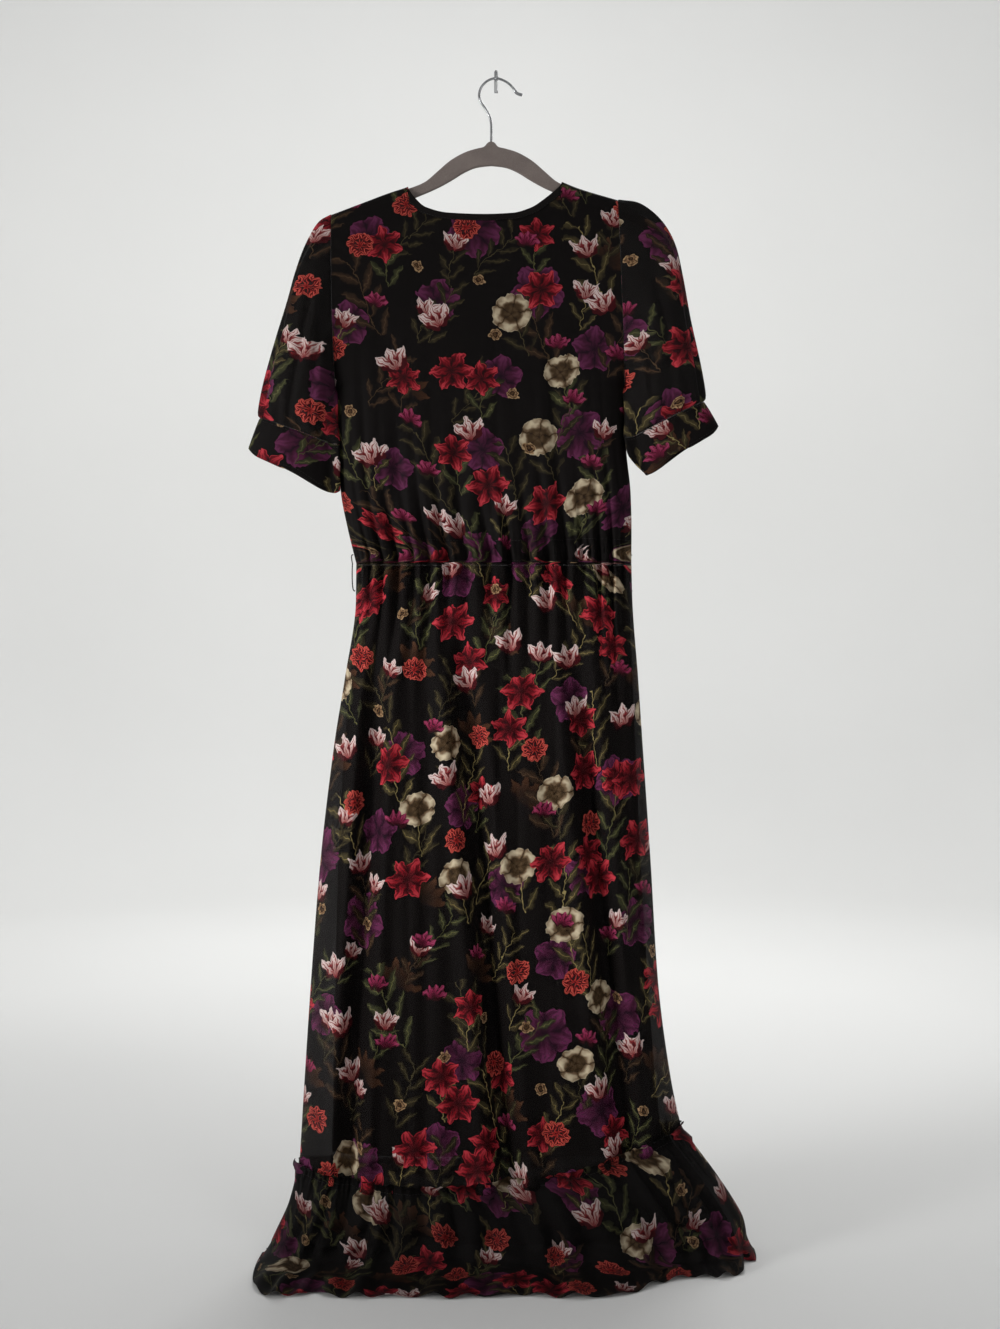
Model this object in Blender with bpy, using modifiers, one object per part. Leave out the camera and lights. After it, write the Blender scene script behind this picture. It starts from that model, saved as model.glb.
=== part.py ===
"""Maxi dress hung by its back view on a slim hanger, from a small hook on a wall.

The origin is on the wall, in the middle of the hook plate's back face. The wall is the plane
y = 0, the dress hangs in front of it towards -Y, +X is to the right and +Z is up. The back of
the dress faces -Y and its front faces the wall. Sizes are in millimetres until a mesh is made.
"""
import math
from collections import namedtuple

import bmesh
import bpy
from mathutils import Vector

MM = 0.001
DRESS = "maxi_dress"

# Cloth and seams
CLOTH = 1.2
BINDING_CLOTH = 1.0
CUFF_CLOTH = 2.0
SEAM_EASE = 0.45
SEAM_TURN = 2.2
SLEEVE_EASE = 1.3
BINDING_LIFT = 1.7

# Hanger and its place
HANG_Y = -38.0
HANGER_X = -6.0
HANGER_THICK = 5.5
HANGER_ROUND = 1.75
WIRE_RADIUS = 1.5
PEG_RADIUS = 1.6
PEG_TURN = 2.2
PEG_TIP_Z = -0.8
PEG_ROOT_Y = -0.4
PEG_EASE = 0.15
TIP_EASE = 0.6
PLATE_WIDTH = 4.6
PLATE_HEIGHT = 27.0
PLATE_THICK = 1.5
WIRE_STEPS = 2

# Mid depth of the side seams
SIDE_Y = -40.0
WAIST_Z = -601.0
UNDERARM_Z = -385.0

# Gathers of a panel or sleeve, three columns of faces to each, and how far down they run
SKIRT_GATHERS = 18
SLEEVE_GATHERS = 10
COLUMNS_PER_GATHER = 3
GATHER_DEPTH = 3.0
SKIRT_GATHER_RUN = 70.0
BODICE_GATHER_RUN = 45.0

# Unevenness of the gathers: two slow drifts along the row, and a swell of their depth
Drift = namedtuple("Drift", "size pace")
WIDE_DRIFT = Drift(0.55, 0.37)
NEAR_DRIFT = Drift(0.3, 0.83)
SWELL = Drift(0.22, 0.71)
SKIRT_PHASE = 0.4
BODICE_PHASE = 0.9
SLEEVE_PHASE = 0.6
FLOUNCE_PHASE = 1.1
PHASE_PER_ROW = 0.25

# Share of a panel's columns that are evenly spaced; the rest crowd towards the side seams
EVEN_SHARE = 0.45

# Parts of a panel's half width, at its sides, over which folds and waves die out
BODICE_FADE = 1.0 / 8.0
SKIRT_FADE = 1.0 / 12.0
FLOUNCE_FADE = 1.0 / 14.0

# Outline of the upper body below the shoulders
Side = namedtuple("Side", "z left right")
BODICE_SIDES = (
    Side(-157, -200.5, 148.0),
    Side(-250, -199.0, 151.0),
    Side(-385, -195.5, 156.0),
    Side(-461, -193.5, 158.5),
    Side(-517, -188.5, 164.0),
    Side(-558, -180.5, 165.0),
    Side(-601, -170.0, 164.8),
)

# Top edges, from the left armhole to the right one
Edge = namedtuple("Edge", "x z")
SHOULDER_LINE = (
    Edge(-200.5, -175.3),
    Edge(-166.0, -162.2),
    Edge(-129.3, -148.4),
    Edge(-107.4, -141.1),
    Edge(-60.0, -117.0),
    Edge(-13.0, -100.0),
    Edge(35.0, -112.0),
    Edge(80.5, -135.0),
    Edge(101.3, -143.4),
    Edge(148.0, -157.4),
)
BACK_NECK = (
    Edge(-107.4, -141.1),
    Edge(-105.5, -146.5),
    Edge(-100.0, -155.5),
    Edge(-85.4, -170.0),
    Edge(-58.6, -177.5),
    Edge(-14.6, -179.6),
    Edge(19.5, -178.0),
    Edge(41.5, -171.5),
    Edge(61.0, -158.0),
    Edge(74.0, -146.0),
    Edge(78.6, -140.5),
    Edge(80.5, -135.0),
)
FRONT_NECK = (
    Edge(-107.4, -141.1),
    Edge(-105.5, -146.5),
    Edge(-97.0, -168.0),
    Edge(-70.0, -222.0),
    Edge(-40.0, -281.0),
    Edge(-19.0, -320.0),
    Edge(-13.0, -326.0),
    Edge(-7.0, -320.0),
    Edge(14.0, -281.0),
    Edge(44.0, -222.0),
    Edge(70.0, -168.0),
    Edge(78.6, -140.5),
    Edge(80.5, -135.0),
)
BINDING_ROWS = (0.0, 3.0, 8.0)
SHOULDER_COLUMNS = (0.0, 0.05, 0.14, 0.27, 0.42, 0.58, 0.74, 0.89)
NECK_COLUMNS = 18
BODICE_ROWS = 8
ROW_CROWDING = 1.15
MOST_STRETCH = 2.3

# Depth of the upper body: over the hanger, then out to the hang of the cloth
TURN_DEPTH = 3.9
TURN_RUN = 1.4
HANG_RUN = 38.0
BACK_DEPTH = 21.0
FRONT_DEPTH = 17.0
SIDE_ROUND = 7.0
SETTLE_SHARE = 1.0 / 3.0
ARMHOLE_RUN = 70.0

# Soft troughs of the panels, by place and size; a ridge has a negative depth
Fold = namedtuple("Fold", "x_top x_low z_top z_low width depth")
FOLD_START = 0.25
BACK_BODICE_FOLDS = (
    Fold(-118, -128, -430, -601, 11, 3.5),
    Fold(-44, -42, -420, -601, 11, 4.5),
    Fold(-8, -6, -480, -601, 9, 3.5),
    Fold(38, 36, -400, -601, 10, 3.0),
    Fold(66, 84, -300, -601, 12, 4.0),
)
FRONT_BODICE_FOLDS = (
    Fold(-110, -120, -420, -601, 12, 3.5),
    Fold(-60, -52, -440, -601, 10, 3.5),
    Fold(30, 26, -440, -601, 10, 3.5),
    Fold(96, 104, -410, -601, 12, 3.5),
)

# Skirt: outline and hang of both panels
Level = namedtuple("Level", "z left right back front")
SKIRT_LEVELS = (
    Level(-601, -170.0, 164.8, -62, -22),
    Level(-646, -170.5, 166.0, -65, -19),
    Level(-741, -184.0, 173.0, -71, -17),
    Level(-815, -196.0, 178.0, -76, -16),
    Level(-961, -213.5, 188.0, -83, -15),
    Level(-1107, -225.0, 197.0, -88, -15),
    Level(-1229, -233.0, 213.0, -91, -15),
    Level(-1345, -240.0, 240.0, -93, -15),
)
SKIRT_ROUND = 4.5
BACK_SKIRT_FOLDS = (
    Fold(-139, -178, -640, -1350, 17, 13),
    Fold(-52, 15, -615, -1350, 17, 14),
    Fold(88, 158, -650, -1350, 17, 13),
    Fold(-77, -84, -610, -760, 10, 5),
    Fold(160, 196, -900, -1280, 12, 6),
    Fold(-95, -82, -700, -1350, 34, -5),
    Fold(18, 86, -700, -1350, 34, -5),
    Fold(-165, -205, -700, -1350, 16, -3),
)
FRONT_SKIRT_FOLDS = (
    Fold(-128, -170, -640, -1350, 18, 8),
    Fold(-40, -62, -615, -1350, 17, 9),
    Fold(34, 48, -640, -1350, 17, 8),
    Fold(110, 160, -620, -1350, 18, 9),
    Fold(-84, -116, -700, -1350, 30, -3),
    Fold(0, -8, -700, -1350, 30, -3),
    Fold(72, 104, -700, -1350, 30, -3),
)
SKIRT_ROWS = (0.0, 0.03, 0.09, 0.18, 0.32, 0.50, 0.68, 0.85, 1.0)

# Height of the flounce seam at the left side, in the middle and at the right side
SeamLine = namedtuple("SeamLine", "left middle right")
FLOUNCE_SEAM = SeamLine(-1335, -1347, -1290)
SKIRT_END_BELOW_SEAM = 4.0

# Flounce from heading to hem: sides, then the middle of the back and of the front
Ruffle = namedtuple("Ruffle", "x_left z_left x_right z_right y_side y_back z_back y_front z_front wave")
FLOUNCE_ROWS = (
    Ruffle(-241, -1325, 231, -1280, -41, -95, -1337, -10, -1331, 3.0),
    Ruffle(-242, -1335, 235, -1290, -41, -95, -1347, -10, -1341, 1.6),
    Ruffle(-252, -1378, 268, -1343, -45, -99, -1382, -12, -1380, 5.0),
    Ruffle(-268, -1413, 297, -1388, -50, -107, -1411, -14, -1412, 7.0),
    Ruffle(-270, -1424, 303, -1413, -52, -135, -1425, -20, -1425, 6.0),
    Ruffle(-274, -1429, 308, -1425, -54, -172, -1429, -33, -1429, 4.0),
    Ruffle(-278, -1430, 312, -1430, -56, -206, -1430, -46, -1430, 3.0),
)
HEM_ROUND = 14.0
FLOUNCE_OFF_SKIRT = 1.7
HEADING_ROWS = 2
FOLLOW_ROWS = 3
ROUND_ROWS = 4
CREASE_ROW = 3
FLOOR_ROW = 5
HEM_LIFT = 0.9
FRONT_WAVE_SHARE = 0.4

# The hem spreads less over the floor towards the right, and runs out to a toe at the left
SPREAD_RIGHT = 0.42
SPREAD_START = 0.35
SPREAD_RUN = 0.4
TOE_LEFT = 14.0
TOE_POWER = 8

# Lining of the skirt
SLIP_LEVELS = (
    Level(-604, -167.9, 162.7, -56, -28),
    Level(-660, -168.4, 163.4, -56, -30),
    Level(-741, -178.0, 166.5, -58, -30),
    Level(-961, -192.0, 176.0, -62, -30),
    Level(-1180, -197.0, 190.0, -66, -30),
    Level(-1315, -199.5, 203.0, -68, -30),
)
SLIP_COLUMNS = 16

# Sleeves: the outer line, the line under the arm, and half the depth of the tube
Ring = namedtuple("Ring", "x_out z_out x_in z_in y depth wave")
LEFT_SLEEVE = (
    Ring(-216.5, -188.0, -197.6, -394.0, -38.5, 27, 0.8),
    Ring(-231.5, -214.5, -198.2, -402.0, -40, 31, 0.8),
    Ring(-243.5, -246.0, -198.6, -411.0, -41.5, 33, 0.4),
    Ring(-254.0, -284.0, -198.8, -420.0, -42, 34, 0.3),
    Ring(-268.5, -333.0, -198.8, -430.0, -42, 34, 0.6),
    Ring(-281.0, -384.0, -198.4, -441.0, -42, 33, 1.6),
    Ring(-287.0, -424.0, -197.4, -457.0, -42, 25, 2.4),
)
RIGHT_SLEEVE = (
    Ring(175.0, -164.8, 159.0, -393.0, -38.5, 27, 0.8),
    Ring(200.0, -184.5, 160.6, -400.0, -40, 31, 0.8),
    Ring(217.0, -212.0, 161.8, -408.0, -41.5, 33, 0.4),
    Ring(226.5, -250.0, 162.6, -416.0, -42, 34, 0.3),
    Ring(236.0, -305.0, 163.2, -425.0, -42, 34, 0.6),
    Ring(247.0, -362.0, 163.6, -436.0, -42, 33, 1.6),
    Ring(252.5, -404.0, 163.8, -449.0, -42, 25, 2.4),
)
LEFT_CUFF = (
    Ring(-287.4, -424.9, -197.3, -458.2, -42, 25, 0),
    Ring(-293.5, -442.0, -197.0, -484.0, -42, 25, 0),
    Ring(-301.0, -460.5, -195.5, -513.0, -42, 26, 0),
)
RIGHT_CUFF = (
    Ring(253.0, -404.9, 164.1, -450.2, -42, 25, 0),
    Ring(261.5, -419.0, 170.0, -469.5, -42, 25, 0),
    Ring(270.5, -433.5, 181.5, -491.0, -42, 26, 0),
)

# Hanger outline from its middle to the end of an arm
HANGER_TOP = (
    Edge(0.0, -85.8),
    Edge(4.3, -87.5),
    Edge(9.0, -92.5),
    Edge(18.3, -94.8),
    Edge(32.9, -99.6),
    Edge(50.0, -109.4),
    Edge(65.9, -123.0),
    Edge(79.3, -134.4),
    Edge(94.0, -141.2),
    Edge(122.0, -150.6),
    Edge(150.0, -160.8),
    Edge(182.0, -173.9),
    Edge(198.0, -182.5),
    Edge(205.0, -191.0),
)
HANGER_UNDER = (
    Edge(206.0, -197.0),
    Edge(201.0, -201.5),
    Edge(190.0, -196.0),
    Edge(165.9, -182.0),
    Edge(122.0, -166.0),
    Edge(92.7, -154.5),
    Edge(67.1, -143.6),
    Edge(48.8, -133.8),
    Edge(32.9, -124.0),
    Edge(18.0, -117.8),
    Edge(0.0, -115.5),
)
HOOK_WIRE = (
    Edge(-5.9, -85.45),
    Edge(-5.6, -72.0),
    Edge(-6.2, -62.0),
    Edge(-8.4, -54.0),
    Edge(-13.4, -45.0),
    Edge(-18.3, -37.8),
    Edge(-20.5, -30.0),
    Edge(-19.3, -22.5),
    Edge(-15.6, -16.2),
    Edge(-10.2, -11.7),
    Edge(-3.6, -9.0),
    Edge(2.6, -8.9),
    Edge(9.6, -11.4),
    Edge(16.2, -15.6),
    Edge(21.6, -21.4),
    Edge(25.6, -26.8),
    Edge(32.2, -29.2),
)

# Thread loops for a belt
LOOP_THREAD = 0.8
LOOP_STAND = 6.6
LOOP_FROM_SEAM = 1.0
LOOP_PROBE = 0.6
LOOP_TOP_Z = -590.0
LOOP_FOOT_Z = -634.0
LOOP_EASE = 0.5
LOOP_STEPS = 10

# Finishes of the plain solids
Finish = namedtuple("Finish", "colour roughness metallic")
FINISHES = {
    "printed_chiffon": Finish((0.060, 0.045, 0.045), 0.85, 0.0),
    "lining_cloth": Finish((0.025, 0.022, 0.022), 0.8, 0.0),
    "thread": Finish((0.04, 0.035, 0.035), 0.8, 0.0),
    "flocked_hanger": Finish((0.33, 0.30, 0.29), 0.9, 0.0),
    "polished_wire": Finish((0.60, 0.60, 0.60), 0.25, 1.0),
}


def clear_scene():
    """Remove what the file already holds, and make the collection of the dress."""
    for item in list(bpy.data.objects):
        bpy.data.objects.remove(item, do_unlink=True)
    collection = bpy.data.collections.new(DRESS)
    bpy.context.scene.collection.children.link(collection)
    return collection


def make_material(name):
    """One plain Principled material from the table of finishes."""
    finish = FINISHES[name]
    material = bpy.data.materials.new(name)
    material.use_nodes = True
    shader = material.node_tree.nodes["Principled BSDF"]
    shader.inputs["Base Color"].default_value = (*finish.colour, 1.0)
    shader.inputs["Roughness"].default_value = finish.roughness
    shader.inputs["Metallic"].default_value = finish.metallic
    return material


def clamp(value, low=0.0, high=1.0):
    """The value, held between low and high."""
    return max(low, min(high, value))


def blend(low, high, share):
    """The value that lies a share of the way from low to high."""
    return low + (high - low) * share


def ease(share):
    """0 to 1 with a level start and end."""
    share = clamp(share)
    return share * share * (3.0 - 2.0 * share)


def read_table(table, key, column, place):
    """Value of a column at a place along the key column, on a smooth curve through the rows."""
    rows = sorted(table, key=lambda row: getattr(row, key))
    places = [getattr(row, key) for row in rows]
    values = [getattr(row, column) for row in rows]
    if place <= places[0]:
        return values[0]
    if place >= places[-1]:
        return values[-1]
    index = max(i for i in range(len(places) - 1) if places[i] <= place)
    span = places[index + 1] - places[index]
    share = (place - places[index]) / span

    def slope(i):
        """Slope of the curve at a row, flat at a turning point so that it never overshoots."""
        if i == 0 or i == len(places) - 1:
            other = 1 if i == 0 else i - 1
            return (values[other] - values[i]) / (places[other] - places[i])
        before = (values[i] - values[i - 1]) / (places[i] - places[i - 1])
        after = (values[i + 1] - values[i]) / (places[i + 1] - places[i])
        return 0.0 if before * after <= 0 else 2.0 * before * after / (before + after)

    square = share * share
    cube = square * share
    return ((2 * cube - 3 * square + 1) * values[index]
            + (cube - 2 * square + share) * span * slope(index)
            + (3 * square - 2 * cube) * values[index + 1]
            + (cube - square) * span * slope(index + 1))


def fold_depth(folds, x, z):
    """Depth of all the folds at a point: positive goes in towards the wearer."""
    total = 0.0
    for fold in folds:
        run = clamp((fold.z_top - z) / (fold.z_top - fold.z_low))
        middle = blend(fold.x_top, fold.x_low, run)
        total += fold.depth * ease(run / FOLD_START) * math.exp(-((x - middle) / fold.width) ** 2)
    return total


def gather_wave(column, phase):
    """Uneven wave, three columns long, between -1 and 1."""
    drift = WIDE_DRIFT.size * math.sin(WIDE_DRIFT.pace * column + phase)
    drift += NEAR_DRIFT.size * math.sin(NEAR_DRIFT.pace * column)
    size = 1.0 - SWELL.size + SWELL.size * math.sin(SWELL.pace * column + 2.0 * phase)
    return size * math.sin(2.0 * math.pi * column / COLUMNS_PER_GATHER + drift + phase)


def panel_shares(columns):
    """Places across a panel from -1 to 1, closer together near the side seams."""
    shares = []
    for column in range(columns + 1):
        even = -1.0 + 2.0 * column / columns
        crowded = math.sin(0.5 * math.pi * even)
        shares.append(blend(crowded, even, EVEN_SHARE))
    return shares


def side_close(share, power):
    """1 over the flat of a panel, 0 at its side seams."""
    return math.sqrt(max(0.0, 1.0 - abs(share) ** power))


def side_fade(share, run):
    """1 over a panel, easing to 0 at its side seams over a part of its half width."""
    return ease((1.0 - abs(share)) / run)


def turn_at_seams(row, out):
    """The row with a short stretch straight out from each side seam, so that the seams are square."""
    turn = Vector((0.0, out * SEAM_TURN, 0.0))
    return [row[0], row[0] + turn, *row[1:-1], row[-1] + turn, row[-1]]


def seam_height(share):
    """Height of the flounce seam across a panel."""
    line = FLOUNCE_SEAM
    level = 0.5 * (line.left + line.right)
    slope = 0.5 * (line.right - line.left)
    return level + slope * share + (line.middle - level) * (1.0 - share * share)


def skirt_point(share, down, column, is_back):
    """Point of an outer skirt panel; down runs from 0 at the waist to 1 at its lower edge."""
    top = WAIST_Z - SEAM_EASE
    z = blend(top, seam_height(share) - SKIRT_END_BELOW_SEAM, down)
    z_left = blend(top, seam_height(-1.0) - SKIRT_END_BELOW_SEAM, down)
    z_right = blend(top, seam_height(1.0) - SKIRT_END_BELOW_SEAM, down)
    left = read_table(SKIRT_LEVELS, "z", "left", z_left)
    right = read_table(SKIRT_LEVELS, "z", "right", z_right)
    x = 0.5 * (left + right) + 0.5 * (right - left) * share
    close = side_close(share, SKIRT_ROUND)
    fade = side_fade(share, SKIRT_FADE)
    wave = GATHER_DEPTH * gather_wave(column, SKIRT_PHASE) * math.exp((z - top) / SKIRT_GATHER_RUN)
    if is_back:
        depth = SIDE_Y - read_table(SKIRT_LEVELS, "z", "back", z)
        depth += (wave - fold_depth(BACK_SKIRT_FOLDS, x, z)) * fade
        return Vector((x, SIDE_Y - SEAM_EASE - depth * close, z))
    depth = read_table(SKIRT_LEVELS, "z", "front", z) - SIDE_Y
    depth += (wave - fold_depth(FRONT_SKIRT_FOLDS, x, z)) * fade
    return Vector((x, SIDE_Y + SEAM_EASE + depth * close, z))


def skirt_rows(is_back):
    """Outer skirt panel, from the waist seam to just below the flounce seam."""
    columns = SKIRT_GATHERS * COLUMNS_PER_GATHER
    shares = panel_shares(columns)
    out = -1.0 if is_back else 1.0
    rows = []
    for down in SKIRT_ROWS:
        row = [skirt_point(share, down, column, is_back) for column, share in enumerate(shares)]
        rows.append(turn_at_seams(row, out))
    return rows


def slip_rows(is_back):
    """Lining panel: straight down from the waist seam, with no gathers."""
    rows = []
    for level in SLIP_LEVELS:
        reach = level.back if is_back else level.front
        ease_y = -SEAM_EASE if is_back else SEAM_EASE
        row = []
        for share in panel_shares(SLIP_COLUMNS):
            x = 0.5 * (level.left + level.right) + 0.5 * (level.right - level.left) * share
            y = SIDE_Y + ease_y + (reach - SIDE_Y) * side_close(share, SKIRT_ROUND)
            row.append(Vector((x, y, level.z)))
        rows.append(turn_at_seams(row, -1.0 if is_back else 1.0))
    return rows


def flounce_rows(is_back):
    """Gathered flounce: its heading and seam lie on the skirt, then it falls and spreads out."""
    columns = SKIRT_GATHERS * COLUMNS_PER_GATHER
    shares = panel_shares(columns)
    out = -1.0 if is_back else 1.0
    folds = BACK_SKIRT_FOLDS if is_back else FRONT_SKIRT_FOLDS
    wave_share = 1.0 if is_back else FRONT_WAVE_SHARE
    last_row = [[skirt_point(share, down, column, is_back) for column, share in enumerate(shares)]
                for down in SKIRT_ROWS[-2:]]
    rows = []
    for number, ruffle in enumerate(FLOUNCE_ROWS):
        row = []
        reach = ruffle.y_back if is_back else ruffle.y_front
        middle_z = ruffle.z_back if is_back else ruffle.z_front
        level = 0.5 * (ruffle.z_left + ruffle.z_right)
        slope = 0.5 * (ruffle.z_right - ruffle.z_left)
        round_power = blend(SKIRT_ROUND, HEM_ROUND, clamp((number - 1) / ROUND_ROWS))
        follow = clamp(1.0 - (number - 1) / FOLLOW_ROWS)
        past_crease = clamp((number - CREASE_ROW) / (len(FLOUNCE_ROWS) - 1 - CREASE_ROW))
        for column, share in enumerate(shares):
            x = 0.5 * (ruffle.x_left + ruffle.x_right)
            x += 0.5 * (ruffle.x_right - ruffle.x_left) * share
            z = level + slope * share + (middle_z - level) * (1.0 - share * share)
            fade = side_fade(share, FLOUNCE_FADE)
            phase = FLOUNCE_PHASE + PHASE_PER_ROW * number
            wave = ruffle.wave * (1.0 + gather_wave(column, phase)) * fade * wave_share
            if number < HEADING_ROWS:
                run = (last_row[0][column].z - z) / (last_row[0][column].z - last_row[1][column].z)
                base = last_row[0][column].lerp(last_row[1][column], run)
                y = base.y + out * (FLOUNCE_OFF_SKIRT * side_close(share, HEM_ROUND) + wave)
                x = base.x + math.copysign(FLOUNCE_OFF_SKIRT * (1.0 - fade), share)
                row.append(Vector((x, y, z)))
                continue
            close = side_close(share, round_power)
            middle_y = reach
            if is_back and number > CREASE_ROW:
                crease = FLOUNCE_ROWS[CREASE_ROW].y_back
                spread = blend(1.0, SPREAD_RIGHT, ease((share - SPREAD_START) / SPREAD_RUN))
                middle_y = crease + (reach - crease) * spread
                x -= TOE_LEFT * close * clamp(-share) ** TOE_POWER * past_crease
            depth = out * (middle_y - ruffle.y_side) - fold_depth(folds, x, z) * follow * fade
            if number < FLOOR_ROW:
                y = ruffle.y_side + out * (SEAM_EASE + (depth + wave) * close)
            else:
                y = ruffle.y_side + out * (SEAM_EASE + depth * close)
                z += HEM_LIFT * wave * close
            row.append(Vector((x, y, z)))
        rows.append(turn_at_seams(row, out))
    return rows


def shoulder_height(x):
    """Height of the shoulder line across the dress."""
    return read_table(SHOULDER_LINE, "x", "z", x)


def body_depth(drop, reach):
    """Depth of the cloth below the line of the hanger: round its edge, then out to its hang."""
    turn = TURN_DEPTH * (1.0 - math.exp(-max(drop, 0.0) / TURN_RUN))
    return turn + (reach - TURN_DEPTH) * (1.0 - math.exp(-max(drop, 0.0) / HANG_RUN))


def armhole_open(z):
    """1 up the armhole, closing to 0 at the underarm and below it."""
    return math.sqrt(clamp((z - UNDERARM_Z) / ARMHOLE_RUN))


def middle_depth(drop_share):
    """Mid plane of the upper body: under the hanger at the top, then at the side seams."""
    return blend(HANG_Y, SIDE_Y, clamp(drop_share / SETTLE_SHARE))


def bodice_point(share, z, column, is_back, drop_share):
    """Point of a bodice panel; drop_share runs from 0 at its top edge to 1 at the waist seam."""
    left = read_table(BODICE_SIDES, "z", "left", z)
    right = read_table(BODICE_SIDES, "z", "right", z)
    x = 0.5 * (left + right) + 0.5 * (right - left) * share
    reach = BACK_DEPTH if is_back else FRONT_DEPTH
    depth = body_depth(shoulder_height(x) - z, reach)
    folds = BACK_BODICE_FOLDS if is_back else FRONT_BODICE_FOLDS
    fade = side_fade(share, BODICE_FADE)
    wave = GATHER_DEPTH * gather_wave(column, BODICE_PHASE)
    wave *= math.exp((WAIST_Z - z) / BODICE_GATHER_RUN)
    depth += (wave - fold_depth(folds, x, z)) * fade
    opened = armhole_open(z)
    depth *= blend(side_close(share, SIDE_ROUND), 1.0, opened)
    out = -1.0 if is_back else 1.0
    return Vector((x, middle_depth(drop_share) + out * (SEAM_EASE + depth), z))


def bodice_columns(neck):
    """Places across the top edge: armhole, shoulder, neck corner, neck, and the same back."""
    left, right = BODICE_SIDES[0].left, BODICE_SIDES[0].right
    corner_left, corner_right = neck[0].x, neck[-1].x
    places = [blend(left, corner_left, share) for share in SHOULDER_COLUMNS]
    places.append(corner_left)
    for step in range(NECK_COLUMNS + 1):
        places.append(blend(neck[1].x, neck[-2].x, step / NECK_COLUMNS))
    places.append(corner_right)
    places.extend(blend(right, corner_right, share) for share in reversed(SHOULDER_COLUMNS))
    return places


def top_height(neck, x):
    """Height of a bodice panel's top edge: the neckline between its corners, else the shoulder."""
    if neck[0].x < x < neck[-1].x:
        return read_table(neck, "x", "z", x)
    return shoulder_height(x)


def neck_slope(neck, x):
    """Slope of the neckline, 0 on the shoulders."""
    if not neck[1].x <= x <= neck[-2].x:
        return 0.0
    return (top_height(neck, x + 1.0) - top_height(neck, x - 1.0)) / 2.0


def bodice_rows(is_back):
    """Bodice panel: the rows of its neck binding, then rows down to the waist seam."""
    neck = BACK_NECK if is_back else FRONT_NECK
    left, right = BODICE_SIDES[0].left, BODICE_SIDES[0].right
    places = bodice_columns(neck)
    bottom = WAIST_Z + SEAM_EASE
    row_count = len(BINDING_ROWS) + BODICE_ROWS
    rows = [[] for _ in range(row_count)]
    for column, place in enumerate(places):
        share = (place - 0.5 * (left + right)) / (0.5 * (right - left))
        top = top_height(neck, place)
        stretch = min(math.sqrt(1.0 + neck_slope(neck, place) ** 2), MOST_STRETCH)
        for number in range(row_count):
            if number < len(BINDING_ROWS):
                z = top - BINDING_ROWS[number] * stretch
            else:
                start = top - BINDING_ROWS[-1] * stretch
                step = (number - len(BINDING_ROWS) + 1) / BODICE_ROWS
                z = blend(start, bottom, 1.0 - (1.0 - step) ** ROW_CROWDING)
            drop_share = clamp((top - z) / (top - bottom))
            rows[number].append(bodice_point(share, z, column, is_back, drop_share))
    return rows


def binding_rows(rows, neck):
    """Neck binding: the panel's own points along the neck, moved out over its face."""
    places = bodice_columns(neck)
    first = places.index(neck[1].x)
    last = places.index(neck[-2].x)
    strip = []
    for number in range(len(BINDING_ROWS)):
        line = []
        for column in range(first, last + 1):
            above = rows[max(number - 1, 0)][column]
            below = rows[number + 1][column]
            before = rows[number][max(column - 1, first)]
            after = rows[number][min(column + 1, last)]
            normal = (after - before).cross(below - above).normalized()
            if normal.y * (rows[number][column].y - HANG_Y) < 0:
                normal.negate()
            line.append(rows[number][column] + normal * BINDING_LIFT)
        strip.append(line)
    return strip


def armhole_ring(side_sign, columns):
    """First ring of a sleeve: the bodice's armhole edge, moved just off it."""
    column = "left" if side_sign < 0 else "right"
    top = shoulder_height(getattr(BODICE_SIDES[0], column))
    half = 0.5 * (top - UNDERARM_Z)
    ring = []
    for step in range(columns):
        angle = 2.0 * math.pi * step / columns
        z = UNDERARM_Z + half + half * math.cos(angle)
        x = read_table(BODICE_SIDES, "z", column, z) + side_sign * SLEEVE_EASE
        is_back = math.sin(angle) >= 0
        reach = BACK_DEPTH if is_back else FRONT_DEPTH
        depth = body_depth(top - z, reach) * armhole_open(z)
        middle_y = middle_depth((top - z) / (top - WAIST_Z))
        ring.append(Vector((x, middle_y + (-depth if is_back else depth), z)))
    return ring


def tube_ring(ring, columns, phase):
    """Ring of a sleeve or cuff: an ellipse from its outer line to the line under the arm."""
    outer = Vector((ring.x_out, ring.y, ring.z_out))
    inner = Vector((ring.x_in, ring.y, ring.z_in))
    middle = 0.5 * (outer + inner)
    reach = 0.5 * (outer - inner)
    points = []
    for step in range(columns):
        angle = 2.0 * math.pi * step / columns
        wave = 1.0 + ring.wave * gather_wave(step, phase) / ring.depth
        points.append(middle + reach * math.cos(angle) * wave
                      + Vector((0.0, -ring.depth * math.sin(angle) * wave, 0.0)))
    return points


def grid_object(name, rows, thickness, material, collection, closed=False):
    """Wall of cloth: a grid of faces through the rows, given its thickness by Solidify."""
    width = len(rows[0])
    vertices = [point * MM for row in rows for point in row]
    across = width if closed else width - 1
    faces = []
    for row in range(len(rows) - 1):
        for column in range(across):
            beside = (column + 1) % width
            faces.append((row * width + column, row * width + beside,
                          (row + 1) * width + beside, (row + 1) * width + column))
    mesh = bpy.data.meshes.new(name)
    mesh.from_pydata(vertices, [], faces)
    mesh.update()
    item = bpy.data.objects.new(name, mesh)
    collection.objects.link(item)
    mesh.materials.append(material)
    mesh.shade_smooth()
    wall = item.modifiers.new("wall", "SOLIDIFY")
    wall.thickness = thickness * MM
    wall.offset = 0.0
    wall.use_rim = True
    return item


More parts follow.
